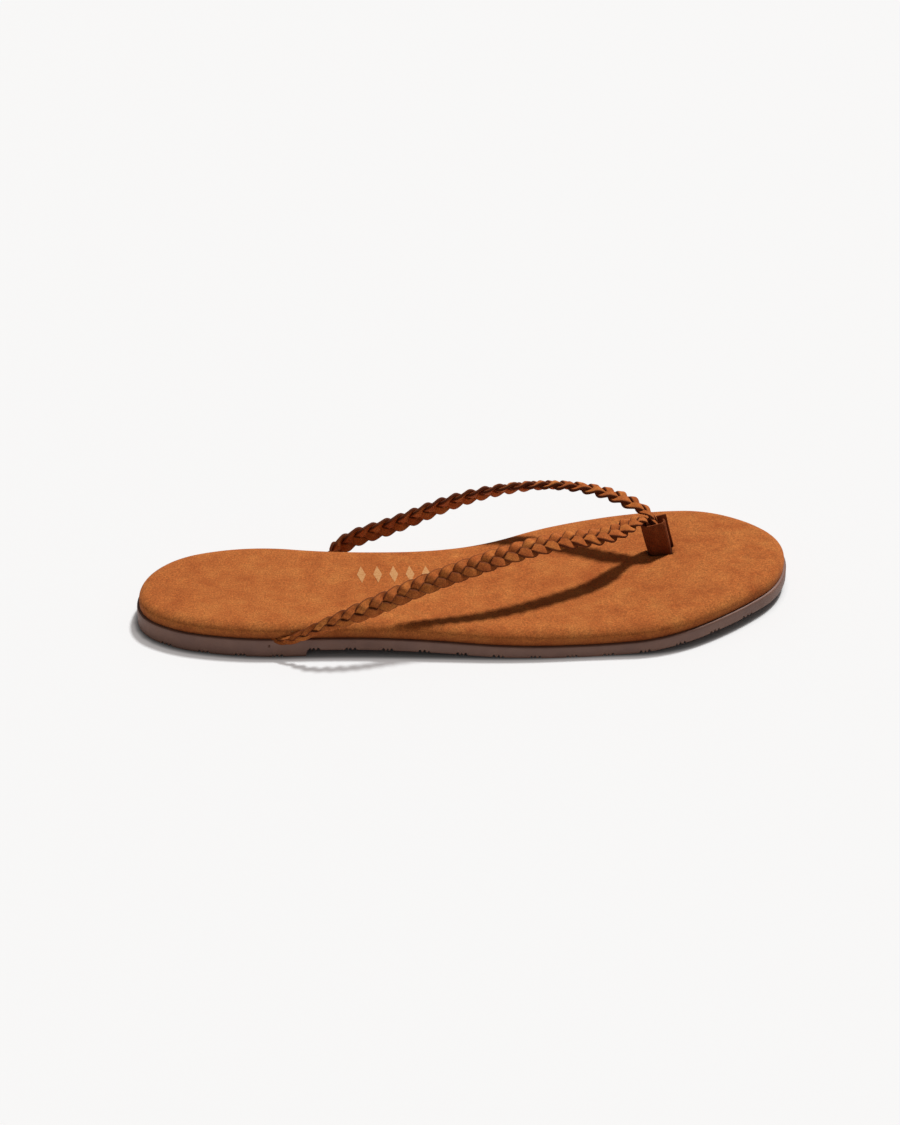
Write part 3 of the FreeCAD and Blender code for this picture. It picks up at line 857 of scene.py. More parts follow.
@dataclass
class ToePost:
    """The leather toe post: a strip folded into a sleeve, its two edges meeting at the front."""

    sole: Sole
    station: float = 49.5 * MM
    shift: float = 11.0 * MM
    height: float = 13.8 * MM
    lean: float = 13.5
    length: float = 9.2 * MM
    breadth: float = 6.2 * MM
    wall: float = 0.9 * MM
    rear_round: float = 2.3 * MM
    front_round: float = 1.5 * MM
    curl: float = 35.0
    overrun: float = 1.6 * MM
    root: float = 4.6 * MM
    levels: tuple[float, ...] = (-1.5 * MM, 0.0, 0.8 * MM, 2.5 * MM, 5 * MM, 7.5 * MM, 10 * MM,
                                 12 * MM, 13.2 * MM)
    arc_steps: int = 7
    far_shares: tuple[float, ...] = (0.35, 0.7, 1.0)
    # How far the leather swells half way up, flares at the mouth, is drawn in at the footbed over
    # a height, is rounded at its rim, and wavers over a distance.
    belly: float = 0.22 * MM
    flare: float = 0.30 * MM
    pinch: float = 0.12 * MM
    pinch_height: float = 1.2 * MM
    rim: float = 0.22 * MM
    sway: float = 0.14 * MM
    sway_size: float = 5 * MM
    crease: float = 60.0
    worn_edge: float = 0.12 * MM
    # How dark the painted shade at the post's foot is, and the height over which it fades.
    foot_shade_share: float = 0.6
    foot_shade_height: float = 2.2 * MM
    slot_gap: float = 0.1 * MM
    slot_corner: float = 0.4 * MM
    slot_steps: int = 5

    def __post_init__(self) -> None:
        """Work out the post's foot and its own directions."""
        x = self.sole.half_length - self.station
        self.foot = Vector((x, self.shift, float(self.sole.underside(x)) + self.sole.cover_top))
        turn = Matrix.Rotation(math.radians(-self.lean), 3, "Y")
        self.axis = turn @ Vector((0, 0, 1))
        self.ahead = turn @ Vector((1, 0, 0))
        self.mouth = self.foot + self.axis * self.height

    def section(self, outset: float) -> list[tuple[float, float]]:
        """The sleeve's line in section: the near edge curls in at the front, the far one runs on.

        Args:
            outset: How far outside the middle of the leather.

        Returns:
            Places ahead of the post's axis and across it.
        """
        long, wide = self.length / 2 - self.wall / 2, self.breadth / 2 - self.wall / 2
        front, rear = self.front_round, self.rear_round
        rows = []
        for middle_x, middle_y, radius, first, last in (
                (long - front, front - wide, front, self.curl, -90),
                (rear - long, rear - wide, rear, -90, -180),
                (rear - long, wide - rear, rear, 180, 90)):
            for step in range(self.arc_steps + 1):
                angle = math.radians(first + (last - first) * step / self.arc_steps)
                reach = radius + outset
                rows.append((middle_x + reach * math.cos(angle),
                             middle_y + reach * math.sin(angle)))
        for share in self.far_shares:
            rows.append((rear - long + (2 * long - rear + self.overrun) * share, wide + outset))
        return rows

    def hole(self) -> np.ndarray:
        """Outline the slot in the footbed that the post stands in.

        Returns:
            Its places, in plan.
        """
        long = self.length / 2 / self.axis.z + self.slot_gap
        wide = self.breadth / 2 + self.slot_gap
        places = []
        for turn_x, turn_y, radius, first in ((1, -1, self.slot_corner, -90),
                                              (1, 1, self.slot_corner, 0),
                                              (-1, 1, self.rear_round, 90),
                                              (-1, -1, self.rear_round, 180)):
            for step in range(self.slot_steps + 1):
                angle = math.radians(first + 90 * step / self.slot_steps)
                places.append((self.foot.x + turn_x * (long - radius) + radius * math.cos(angle),
                               self.foot.y + turn_y * (wide - radius) + radius * math.sin(angle)))
        return np.array(places)

    def build(self, finish: Nubuck) -> bpy.types.Object:
        """Make the sleeve.

        Args:
            finish: The leather.

        Returns:
            The piece.
        """
        levels = [-self.root, *self.levels, self.height]
        half = self.wall / 2
        points, count = [], 0
        for level in levels:
            share = max(0.0, level / self.height)
            belly = self.belly * math.sin(math.pi * min(1.0, share)) + self.flare * share ** 4
            pinch = self.pinch * math.exp(-(level / self.pinch_height) ** 2)
            rim = self.rim if level == self.height else 0.0
            outer = self.section(half + belly - pinch - rim)
            inner = self.section(-half + belly - pinch + rim)
            ring = outer + inner[::-1]
            count = len(ring)
            for ahead, across in ring:
                place = self.foot + self.ahead * ahead + Vector((0, across, 0)) + self.axis * level
                sway = noise.noise(place / self.sway_size) * self.sway * min(1.0, 2 * share)
                points.append(place + Vector((sway, sway, sway * 0.5)))
        faces = [face[::-1] for face in strips(0, count, len(levels))]
        half_count = count // 2
        for base, flip in ((0, True), (count * (len(levels) - 1), False)):
            for number in range(half_count - 1):
                face = (base + number, base + number + 1,
                        base + count - 2 - number, base + count - 1 - number)
                faces.append(face if flip else face[::-1])
        piece = make_piece("folded_post_sleeve", points, faces, finish.make())
        piece.data.set_sharp_from_angle(angle=math.radians(self.crease))
        bevel = piece.modifiers.new("worn edges", "BEVEL")
        bevel.width = self.worn_edge
        bevel.segments = 2
        bevel.limit_method = "ANGLE"
        bevel.angle_limit = math.radians(self.crease)
        settle(piece)
        self.paint_foot_shade(piece)
        return piece

    def paint_foot_shade(self, piece: bpy.types.Object) -> None:
        """Darken the foot of the post, where it stands in the footbed: painted shade.

        Args:
            piece: The sleeve.
        """
        heights = [(vertex.co - self.foot).dot(self.axis) for vertex in piece.data.vertices]
        store(piece.data, "edge", [
            self.foot_shade_share * math.exp(-max(0.0, height) / self.foot_shade_height)
            for height in heights])


# ---------------------------------------------------------------- footbed

@dataclass
class Footbed:
    """The nubuck cover, lasted over foam and board: one skin, turned in under the board."""

    sole: Sole
    post: ToePost
    spacing: float = 1.1 * MM
    pitch: float = 2.4 * MM
    skin: float = 0.9 * MM
    # Inset from the wall and rise above the outsole, from the turned margin's inner edge out and
    # up to where the wall bulges most.
    turned: tuple[tuple[float, float], ...] = (
        (12.0 * MM, 0.03 * MM), (4.0 * MM, 0.03 * MM), (0.5 * MM, 0.03 * MM),
        (0.16 * MM, 0.08 * MM), (0.03 * MM, 0.28 * MM), (-0.03 * MM, 0.8 * MM),
        (-0.1 * MM, 1.7 * MM))
    round_height: float = 3.162 * MM
    round_width: float = 4.6 * MM
    round_steps: int = 9
    shelf: float = 2.2 * MM
    dimple: float = 0.55 * MM
    dimple_reach: float = 2.6 * MM
    # How dark the painted shade on the wall is at the seam with the outsole, how steeply that fades
    # up the wall, and its falloff.
    seam_shade: float = 0.7
    seam_shade_slope: float = 1.6
    seam_shade_falloff: float = 1.3

    def profile(self) -> list[tuple[float, float]]:
        """Work out the cover's section.

        Returns:
            Inset and height of each ring, from the turned margin's inner edge up to the top.
        """
        base, top, wall = self.sole.outsole_top, self.sole.cover_top, self.sole.lip
        rows = [(wall + inset, base + rise) for inset, rise in self.turned]
        start, centre = rows[-1][0], top - self.round_height
        for step in range(self.round_steps + 1):
            angle = math.radians(90 * step / self.round_steps)
            rows.append((start + self.round_width * (1 - math.cos(angle)),
                         centre + self.round_height * math.sin(angle)))
        rows.append((rows[-1][0] + self.shelf, top))
        return rows

    def top_at(self, x: float, y: float) -> float:
        """Height of the footbed's top, dimpled where the post is pulled down into it.

        Args:
            x: Station.
            y: Place across.

        Returns:
            The height above the ground.
        """
        ahead = max(0.0, abs(x - self.post.foot.x) - self.post.length / 2)
        across = max(0.0, abs(y - self.post.foot.y) - self.post.breadth / 2)
        dip = self.dimple * math.exp(-math.hypot(ahead, across) / self.dimple_reach)
        return self.sole.cover_height(x, y) - dip

    def build(self, finish: Nubuck) -> bpy.types.Object:
        """Make the cover.

        Args:
            finish: The nubuck.

        Returns:
            The piece.
        """
        outline, outward = self.sole.outline(self.spacing)
        profile = self.profile()
        count, base, top = len(outline), self.sole.outsole_top, self.sole.cover_top
        points, edges = [], []
        for inset, height in profile:
            share = (height - base) / (top - base)
            for (x, y) in outline - outward * inset:
                swell = (self.sole.cover_height(x, y) - float(self.sole.underside(x)) - top) * share
                points.append((x, y, float(self.sole.underside(x)) + height + swell))
                # Painted shade: the wall is darkened towards the seam with the outsole, fading up
                # the wall.
                fading = max(0.0, 1 - share * self.seam_shade_slope)
                edges.append(self.seam_shade * fading ** self.seam_shade_falloff)
        faces = strips(0, count, len(profile))
        corner = np.array([self.sole.half_length, self.sole.half_width])
        ring = outline - outward * profile[-1][0]
        flat, triangles = fill_inside(ring, grid_inside(-corner, corner, self.pitch),
                                      self.post.hole())
        start = count * (len(profile) - 1)
        faces += [tuple(start + number for number in face) for face in triangles]
        for x, y in flat[count:]:
            points.append((x, y, self.top_at(x, y)))
            edges.append(0.0)
        piece = make_piece("nubuck_cover", points, faces, finish.make())
        store(piece.data, "edge", edges)
        wall = piece.modifiers.new("skin", "SOLIDIFY")
        wall.thickness = self.skin
        wall.offset = -1.0
        settle(piece)
        piece.data.shade_smooth()
        return piece


# ---------------------------------------------------------------- straps

class Side(Enum):
    """Which side of the foot a strap is on: the sign of Y."""

    LATERAL = -1
    MEDIAL = 1


FINE_SAMPLES = 4000


def spline(places: np.ndarray, spacing: float) -> tuple[np.ndarray, np.ndarray]:
    """A natural cubic spline through places, sampled evenly.

    Args:
        places: The places it goes through.
        spacing: Distance from sample to sample.

    Returns:
        The samples, and how far along each of the places is.
    """
    knots = np.concatenate([[0], np.cumsum(np.linalg.norm(np.diff(places, axis=0), axis=1))])
    count, gap = len(places), np.diff(knots)
    system, right = np.eye(count), np.zeros((count, 3))
    for row in range(1, count - 1):
        system[row, row - 1:row + 2] = gap[row - 1], 2 * (gap[row - 1] + gap[row]), gap[row]
        right[row] = 6 * ((places[row + 1] - places[row]) / gap[row]
                          - (places[row] - places[row - 1]) / gap[row - 1])
    bend = np.linalg.solve(system, right)

    def at(t: np.ndarray) -> np.ndarray:
        """Work out places on the spline.

        Args:
            t: Parameters, as the knots count them.

        Returns:
            The places.
        """
        span = np.clip(np.searchsorted(knots, t, side="right") - 1, 0, count - 2)
        width, a, b = gap[span], t - knots[span], knots[span + 1] - t
        a, b, width = a[:, None], b[:, None], width[:, None]
        return (bend[span] * b ** 3 + bend[span + 1] * a ** 3) / (6 * width) \
            + (places[span] / width - bend[span] * width / 6) * b \
            + (places[span + 1] / width - bend[span + 1] * width / 6) * a

    fine = np.linspace(0, knots[-1], FINE_SAMPLES)
    lengths = np.concatenate([[0], np.cumsum(np.linalg.norm(np.diff(at(fine), axis=0), axis=1))])
    even = np.linspace(0, lengths[-1], round(lengths[-1] / spacing) + 1)
    return at(np.interp(even, lengths, fine)), np.interp(knots, fine, lengths)


# Share of the way from seam to post, bow outwards and arch above the line from footbed to mouth in
# millimetres, and how far the outer face leans up in degrees: the routes of the CAD model's straps.
ROUTES: dict[Side, list[tuple[float, float, float, float]]] = {
    Side.LATERAL: [(0.047, 3.8, -4.0, 20), (0.09, 7.1, -0.8, 8), (0.165, 10.1, 2.5, 8),
                   (0.245, 11.8, 5.2, 14), (0.335, 12.2, 8.1, 22), (0.52, 13.4, 13.0, 40),
                   (0.665, 12.5, 13.9, 56), (0.79, 10.4, 10.5, 68), (0.90, 6.3, 5.7, 80)],
    Side.MEDIAL: [(0.048, 4.6, -4.2, 14), (0.115, 7.4, -1.2, 6), (0.195, 9.8, 0.5, 8),
                  (0.375, 14.6, 6.8, 22), (0.56, 17.5, 11.2, 42), (0.705, 17.2, 11.7, 60),
                  (0.80, 14.1, 11.2, 68), (0.87, 10.2, 9.9, 76), (0.93, 5.7, 7.8, 84)],
}
# Into the post's mouth: ahead of its axis, out to the strap's side and above the mouth, in
# millimetres.
ENTRIES: dict[Side, list[tuple[float, float, float]]] = {
    Side.LATERAL: [(-5.0, 2.2, 2.2), (-2.6, 0.6, 1.0), (-1.6, 0.0, -2.2), (-1.5, 0.0, -5.8)],
    Side.MEDIAL: [(-2.4, 3.2, 3.8), (0.4, 1.0, 1.8), (1.4, 0.0, -1.8), (1.5, 0.0, -5.8)],
}
# Where the tail's points are, as shares of its length in from the sole's edge.
TAIL_SHARES = (0.95, 0.6, 0.25, 0.0)


def plait_tree() -> bpy.types.NodeTree:
    """The Geometry Nodes tree that lays one strand of a plait along a route.

    The strand goes side to side once a period and over and under twice. It is widest on the way
    over, where the lace lies flat, and gathers where it dives under the next.

    Returns:
        The tree.
    """
    tree, given = start_tree("plaited_strand", Period="Float", Phase="Float", Swing="Float",
                             Lift="Float", Width="Float", Thickness="Float", Plumpness="Float",
                             Roll="Float", Finish="Material")
    scalar, vector = "ShaderNodeMath", "ShaderNodeVectorMath"
    face, girth, facing, full = (
        add_node(tree, "GeometryNodeInputNamedAttribute", {"Name": name}, data_type=kind)
        for name, kind in (("face", "FLOAT_VECTOR"), ("girth", "FLOAT"),
                           ("outward", "FLOAT_VECTOR"), ("fullness", "FLOAT")))
    route = add_node(tree, "GeometryNodeMeshToCurve", (given["Geometry"],))
    along = add_node(tree, "GeometryNodeSplineParameter").outputs["Length"]
    heading = add_node(tree, "GeometryNodeInputTangent")
    turns = add_node(tree, scalar, (along, given["Period"]), operation="DIVIDE")
    turns = add_node(tree, scalar, (turns, given["Phase"]), operation="ADD")
    angle = add_node(tree, scalar, (turns, 2 * math.pi), operation="MULTIPLY")
    twice, fourfold = (add_node(tree, scalar, (angle, times), operation="MULTIPLY")
                       for times in (2.0, 4.0))
    side_to_side, over_and_under = (add_node(tree, scalar, (turn,), operation="SINE")
                                    for turn in (angle, twice))

    side = add_node(tree, vector, (face, heading), operation="CROSS_PRODUCT")
    side = add_node(tree, vector, (side,), operation="NORMALIZE")
    outward = add_node(tree, vector, (heading, side), operation="CROSS_PRODUCT")
    swing = add_node(tree, scalar, (side_to_side, given["Swing"]), operation="MULTIPLY")
    lift = add_node(tree, scalar, (over_and_under, given["Lift"]), operation="MULTIPLY")
    sideways, upwards = (
        add_node(tree, vector, {0: way, "Scale": add_node(tree, scalar, (far, girth),
                                                          operation="MULTIPLY")},
                 operation="SCALE") for way, far in ((side, swing), (outward, lift)))
    offset = add_node(tree, vector, (sideways, upwards), operation="ADD")
    # The lace rolls over towards the edge that it goes round.
    roll = add_node(tree, scalar, (side_to_side, given["Roll"]), operation="MULTIPLY")
    roll = add_node(tree, vector, {0: side, "Scale": roll}, operation="SCALE")
    rolled = add_node(tree, vector, (outward, roll), operation="ADD")
    rolled = add_node(tree, vector, (rolled,), operation="NORMALIZE")
    # The cosine makes the lace widest half way across the face.
    fullness = add_node(tree, scalar, (fourfold,), operation="COSINE")
    fullness = add_node(tree, scalar, (fullness, -1.0), operation="MULTIPLY")
    fullness = add_node(tree, scalar, (fullness, given["Plumpness"]), operation="MULTIPLY")
    fullness = add_node(tree, scalar, (1.0, fullness), operation="ADD")
    fullness = add_node(tree, scalar, (girth, fullness), operation="MULTIPLY")

    # The outward direction and the lobe's fullness belong to the route, so both are kept before the
    # points move.
    kept = route
    for name, value, kind in (("outward", rolled, "FLOAT_VECTOR"), ("fullness", fullness, "FLOAT")):
        kept = add_node(tree, "GeometryNodeStoreNamedAttribute",
                        {"Geometry": kept, "Name": name, "Value": value},
                        data_type=kind, domain="POINT")
    moved = add_node(tree, "GeometryNodeSetPosition", {"Geometry": kept, "Offset": offset})
    turned = add_node(tree, "GeometryNodeSetCurveNormal", {"Curve": moved, "Normal": facing},
                      mode="FREE")

    # The lace in section: a flat rectangle whose corners are rounded nearly to half its thickness.
    rounding, corner_points = 0.46, 5
    lace = add_node(tree, "GeometryNodeCurvePrimitiveQuadrilateral",
                    {"Width": given["Thickness"], "Height": given["Width"]})
    corner = add_node(tree, scalar, (given["Thickness"], rounding), operation="MULTIPLY")
    ring = add_node(tree, "GeometryNodeFilletCurve",
                    {"Curve": lace, "Count": corner_points, "Radius": corner}, mode="POLY")
    # The lace is painted darker towards its side edges, which lie in the plait's creases: painted
    # shade. Each point of the ring keeps how dark, from how far out it is as a share of the lace's
    # width.
    dark_from, dark_to, darkest = 0.32, 0.48, 0.9
    place = add_node(tree, "GeometryNodeInputPosition")
    across = add_node(tree, "ShaderNodeSeparateXYZ", (place,)).outputs["Y"]
    across = add_node(tree, scalar, (across,), operation="ABSOLUTE")
    across = add_node(tree, scalar, (across, given["Width"]), operation="DIVIDE")
    dark = add_node(tree, "ShaderNodeMapRange",
                    {"Value": across, "From Min": dark_from, "From Max": dark_to,
                     "To Min": 0.0, "To Max": darkest})
    ring = add_node(tree, "GeometryNodeStoreNamedAttribute",
                    {"Geometry": ring, "Name": "edge", "Value": dark},
                    data_type="FLOAT", domain="POINT")
    skin = add_node(tree, "GeometryNodeCurveToMesh", {"Curve": turned, "Profile Curve": ring,
                                                      "Scale": full, "Fill Caps": True})
    end_tree(tree, add_node(tree, "GeometryNodeSetShadeSmooth", (skin,)), given["Finish"])
    return tree


@dataclass
class PlaitedStrap:
    """One strap: three leather strands plaited flat, thin in the seam and in the post."""

    sole: Sole
    post: ToePost
    side: Side
    anchor: float
    taper: float
    tail: float = 21.0 * MM
    tail_angle: float = 34.0
    tail_scale: float = 0.4
    tail_height: float = 7.5 * MM
    post_grip: float = 5.0 * MM
    period: float = 17.3 * MM
    swing: float = 2.3 * MM
    lift: float = 0.9 * MM
    width: float = 3.7 * MM
    thickness: float = 1.45 * MM
    plumpness: float = 0.08
    roll: float = 0.3
    spacing: float = 0.4 * MM

    @property
    def name(self) -> str:
        """The strap's name, as its CAD nodes have it."""
        return self.side.name.lower()

    def seam(self) -> Vector:
        """Find where the strap's middle line crosses the outsole's edge.

        Returns:
            The place.
        """
        outline, _ = self.sole.outline(0.5 * MM)
        x = self.anchor - self.sole.half_length
        own = outline[outline[:, 1] * self.side.value > 0]
        y = own[np.argmin(abs(own[:, 0] - x)), 1]
        return Vector((x, y, self.tail_height))

    def route(self) -> tuple[np.ndarray, np.ndarray, np.ndarray]:
        """The strap's middle line.

        Returns:
            Its places, the ways its outer face looks, and its girth.
        """
        start, angle = self.seam(), math.radians(self.tail_angle)
        inward = Vector((-math.cos(angle), -self.side.value * math.sin(angle), 0))
        places = [start + inward * (self.tail * share) for share in TAIL_SHARES]
        up = Vector((0, 0, 1))
        faces = [up] * (len(places) - 1) + [Vector((0, self.side.value, 1)).normalized()]
        rise = self.post.axis.z * self.post.height
        for share, bow, arch, lean in ROUTES[self.side]:
            place = start.lerp(self.post.mouth, share)
            place.y += self.side.value * bow * MM
            bed = float(self.sole.underside(place.x)) + self.sole.cover_top
            place.z = bed + share * rise + arch * MM
            places.append(place)
            lean = math.radians(lean)
            faces.append(Vector((0, self.side.value * math.cos(lean), math.sin(lean))))
        for forward, aside, above in ENTRIES[self.side]:
            shift = Vector((forward, self.side.value * aside, 0)) * MM
            places.append(self.post.mouth + self.post.axis * (above * MM) + shift)
            faces.append(Vector((1, 0, max(0.0, above + 1))))
        samples, marks = spline(np.array([tuple(place) for place in places]), self.spacing)
        along = np.linspace(0, marks[-1], len(samples))
        looks = np.column_stack([np.interp(along, marks, [face[axis] for face in faces])
                                 for axis in range(3)])
        thick = np.clip((along - self.tail) / self.taper, 0, 1)
        out = np.clip((marks[-1] - self.post_grip - along) / self.post.height, 0, 1)
        thin = self.tail_scale
        return samples, looks, np.minimum(thin + (1 - thin) * thick, thin + (1 - thin) * out)

    def build(self, tree: bpy.types.NodeTree,
              finishes: Sequence[bpy.types.Material]) -> list[bpy.types.Object]:
        """Make the strands.

        Args:
            tree: The plait's Geometry Nodes tree.
            finishes: One leather for each strand.

        Returns:
            The pieces, one for each strand.
        """
        samples, looks, girth = self.route()
        # The over-and-under of the inner strap is the other way round, as in a mirrored pair.
        sizes = {"Period": self.period, "Swing": self.swing, "Lift": -self.side.value * self.lift,
                 "Width": self.width, "Thickness": self.thickness, "Plumpness": self.plumpness,
                 "Roll": self.roll}
        pieces, links = [], [(number, number + 1) for number in range(len(samples) - 1)]
        for number, finish in enumerate(finishes):
            name = f"{self.name}_plait_strand_{number + 1}"
            mesh = bpy.data.meshes.new(name)
            mesh.from_pydata([tuple(place) for place in samples], links, [])
            store(mesh, "face", looks, "FLOAT_VECTOR")
            store(mesh, "girth", girth)
            piece = bpy.data.objects.new(name, mesh)
            bpy.context.collection.objects.link(piece)
            pieces.append(grow(piece, tree, Phase=number / len(finishes), Finish=finish, **sizes))
        return pieces


# ---------------------------------------------------------------- foil mark

@dataclass
class FoilMark:
    """A row of plain lozenges stamped in foil on the footbed."""

    bed: Footbed
    count: int = 5
    breadth: float = 3.4 * MM
    proud: float = 0.05 * MM
    thickness: float = 0.06 * MM
    weld: float = 0.005 * MM

    def tree(self) -> bpy.types.NodeTree:
        """Make the Geometry Nodes tree that repeats one lozenge along a row.

        Returns:
            The tree.
        """
        tree, given = start_tree("lozenge_row", Count="Int", Start="Vector", Step="Vector",
                                 Breadth="Float", Height="Float", Thickness="Float",
                                 Finish="Material")
        row = add_node(tree, "GeometryNodeMeshLine",
                       {"Count": given["Count"], "Start Location": given["Start"],
                        "Offset": given["Step"]}, mode="OFFSET")
        square = add_node(tree, "GeometryNodeMeshCircle", {"Vertices": 4, "Radius": 0.5},
                          fill_type="NGON")
        spread = add_node(tree, "ShaderNodeCombineXYZ", (given["Breadth"], given["Height"], 1.0))
        flat = add_node(tree, "GeometryNodeTransform", {"Geometry": square, "Scale": spread})
        thick = add_node(tree, "GeometryNodeExtrudeMesh",
                         {"Mesh": flat, "Offset Scale": given["Thickness"]})
        back = add_node(tree, "GeometryNodeFlipFaces", (flat,))
        lozenge = add_node(tree, "GeometryNodeJoinGeometry")
        for part in (thick, back):
            tree.links.new(part.outputs[0], lozenge.inputs[0])
        closed = add_node(tree, "GeometryNodeMergeByDistance",
                          {"Geometry": lozenge, "Distance": self.weld})
        placed = add_node(tree, "GeometryNodeInstanceOnPoints", {"Points": row, "Instance": closed})
        end_tree(tree, placed, given["Finish"])
        return tree

    def build(self, finish: Foil) -> bpy.types.Object:
        """Make the lozenges.

        Args:
            finish: The foil.

        Returns:
            The piece.
        """
        low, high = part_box("foil_mark")
        start = Vector((low.x + self.breadth / 2, (low.y + high.y) / 2, 0))
        step = Vector(((high.x - low.x - self.breadth) / (self.count - 1), 0, 0))
        piece = make_piece("stamped_lozenges", [(0, 0, 0)], [], finish.make())
        grow(piece, self.tree(), Count=self.count, Start=start, Step=step, Breadth=self.breadth,
             Height=high.y - low.y, Thickness=self.thickness, Finish=piece.data.materials[0])
        for vertex in piece.data.vertices:
            vertex.co.z += self.bed.top_at(vertex.co.x, vertex.co.y) + self.proud
        return piece


# ---------------------------------------------------------------- studio

@dataclass
class Studio:
    """Pale floor, a key light from the toe's far side, soft fill, and the camera."""

    target: Vector = field(default_factory=lambda: Vector((-4.51, 15.25, 8.0)) * MM)
    azimuth: float = -4.0
    elevation: float = 32.0
    distance: float = 1502.8 * MM
    lens: float = 122.65
    light_from: Vector = field(default_factory=lambda: Vector((0.36, 0.40, 1.0)))
    key: float = 3.5
    softness: float = 7.0
    fill: float = 0.16
    glow: float = 0.335
    # How far outside the shadow's outline, in millimetres, and the share of the full glow there.
    fade: tuple[tuple[float, float], ...] = ((-8, 0.0), (-3, 0.0), (-1, 0.03), (0, 0.3), (1, 0.8),
                                             (2.5, 1.0), (10, 1.0))
    fade_spacing: float = 5 * MM
    floor_reach: float = 6.0

    def floor(self, sole: Sole, finish: StudioFloor) -> bpy.types.Object:
        """Make the floor, whose glow dies away under the shoe.

        Args:
            sole: The sole that stands on it.
            finish: The floor's material.

        Returns:
            The floor.
        """
        outline, outward = sole.outline(self.fade_spacing)
        slope = np.array([self.light_from.x, self.light_from.y]) / self.light_from.z
        outline = outline - sole.underside(outline[:, 0])[:, None] * slope
        rings = np.concatenate([outline + outward * (outset * MM) for outset, _ in self.fade])
        corners = np.array([(-1, -1), (1, -1), (1, 1), (-1, 1)]) * self.floor_reach
        flat, faces = fill_inside(corners, rings)
        floor = make_piece("floor", np.column_stack([flat, np.zeros(len(flat))]), faces,
                           finish.make(), smooth=False)
        shares = [1.0] * len(corners) + [share for _, share in self.fade for _ in outline]
        store(floor.data, "glow", np.array(shares) * self.glow)
        return floor

    def build(self, sole: Sole, finish: StudioFloor) -> None:
        """Make the floor, the lights and the camera.

        Args:
            sole: The sole that stands on the floor.
            finish: The floor's material.
        """
        self.floor(sole, finish)
        scene = bpy.context.scene
        scene.view_settings.view_transform = "Standard"
        scene.world = bpy.data.worlds.new("soft_room")
        scene.world.use_nodes = True
        sky = scene.world.node_tree.nodes["Background"]
        sky.inputs["Color"].default_value = srgb("FFFFFF")
        sky.inputs["Strength"].default_value = self.fill
        lamp = bpy.data.lights.new("key", "SUN")
        lamp.energy = self.key
        lamp.angle = math.radians(self.softness)
        light = bpy.data.objects.new("key", lamp)
        light.rotation_euler = self.light_from.to_track_quat("Z", "Y").to_euler()
        scene.collection.objects.link(light)
        turn, rise = math.radians(self.azimuth), math.radians(self.elevation)
        back = Vector((math.sin(turn) * math.cos(rise), -math.cos(turn) * math.cos(rise),
                       math.sin(rise)))
        view = bpy.data.cameras.new("camera")
        view.lens = self.lens
        camera = bpy.data.objects.new("camera", view)
        camera.location = self.target + back * self.distance
        camera.rotation_euler = (-back).to_track_quat("-Z", "Y").to_euler()
        scene.collection.objects.link(camera)
        scene.camera = camera


# ---------------------------------------------------------------- the sandal

# Its edge colour is the painted shade at the footbed's seam.
NUBUCK = Nubuck("nubuck_sanded_tan", dark="B65C26", body="CE7436", light="DC8843", edge="6A2A0E",
                mottle=9 * MM, streak=3 * MM)
# Their edge colour is painted shade along the laces' edges, in the plait's creases.
STRAND_LEATHERS = tuple(
    Nubuck(f"strand_leather_{shade}", dark, body, light, edge="4A2010", mottle=5 * MM,
           streak=2 * MM, nap=0.3 * MM, relief=0.03 * MM, sheen=0.04)
    for shade, dark, body, light in (("tan", "B45A26", "D87A36", "E8944C"),
                                     ("russet", "AC5222", "D07032", "E08846"),
                                     ("brown", "A64E20", "C86A2E", "D88042")))
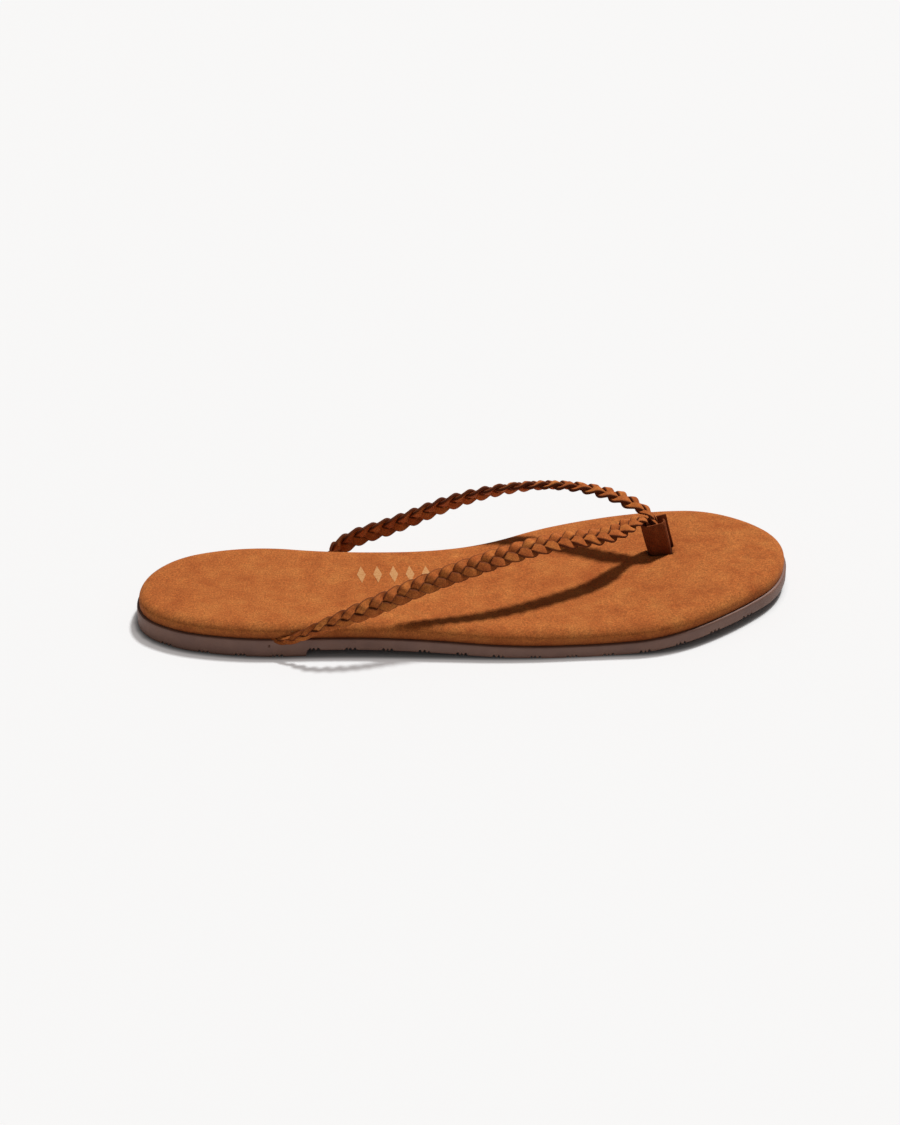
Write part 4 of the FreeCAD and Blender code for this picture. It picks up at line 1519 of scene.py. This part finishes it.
# A darker copy of the strap leather: painted shade, for the shade that the post stands in. Its edge
# colour is the painted shade at the post's foot.
POST_LEATHER = Nubuck("post_leather_shaded", dark="7E3814", body="93481E", light="A65A2C",
                      edge="3A1808", mottle=4 * MM, streak=1.6 * MM, nap=0.3 * MM, relief=0.04 * MM,
                      sheen=0.05)
OUTSOLE_RUBBER = Rubber("moulded_rubber_taupe", body="6E4B3E", worn="7E5847")
GOLD_FOIL = Foil("hot_stamped_gold_foil", body="C28C54", worn="B4743A")
FLOOR = StudioFloor("white_sweep", body="BFC1C1", glow="FFF8F6")
TAB_LEATHER = HiddenStock("split_leather_dyed", Build.SPLIT_LEATHER, "5E4034", "6E4C3E")
HIDDEN = {
    "bottom_filler": HiddenStock("needled_felt", Build.FELT, "6E6A62", "A39E93"),
    "insole_board": HiddenStock("cellulose_fibreboard", Build.FIBREBOARD, "8C6B45", "B8966A"),
    "footbed_foam": HiddenStock("latex_foam", Build.FOAM, "6B4A30", "87643F"),
    "lateral_anchor_tab": TAB_LEATHER,
    "medial_anchor_tab": TAB_LEATHER,
    "toe_post_core": HiddenStock("nylon_webbing", Build.WEBBING, "24140C", "3A2216"),
    "toe_post_patch": HiddenStock("split_leather", Build.SPLIT_LEATHER, "8A6238", "AD8453"),
}


def dress_hidden_nodes() -> None:
    """Give the CAD nodes inside the shoe their finishes."""
    finishes = {stock: stock.make() for stock in dict.fromkeys(HIDDEN.values())}
    for name, stock in HIDDEN.items():
        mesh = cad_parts[name].data
        mesh.materials.clear()
        mesh.materials.append(finishes[stock])
        LOG.info("%s: %s", name, stock.name)


def main() -> None:
    """Build the sandal piece by piece, then the studio round it."""
    logging.basicConfig(level=logging.INFO, format="%(name)s %(message)s")
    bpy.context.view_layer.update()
    sole = Sole()
    post = ToePost(sole)
    hand_over(Outsole(sole).build(OUTSOLE_RUBBER), "outsole_rubber", "outsole")
    bed = Footbed(sole, post)
    cover = bed.build(NUBUCK)
    hand_over(cover, "footbed_nubuck", "footbed_cover")
    hand_over(post.build(POST_LEATHER), "post_leather", "toe_post_sleeve")
    hand_over(FoilMark(bed).build(GOLD_FOIL), "stamped_foil", "foil_mark")
    leathers = [leather.make() for leather in STRAND_LEATHERS]
    tree = plait_tree()
    for strap in (PlaitedStrap(sole, post, Side.LATERAL, anchor=55.0 * MM, taper=34.0 * MM),
                  PlaitedStrap(sole, post, Side.MEDIAL, anchor=72.5 * MM, taper=6.0 * MM)):
        for number, strand in enumerate(strap.build(tree, leathers), start=1):
            hand_over(strand, "strap_leather", f"{strap.name}_strand_{number}")
    dress_hidden_nodes()
    Studio().build(sole, FLOOR)


if __name__ == "__main__":
    main()
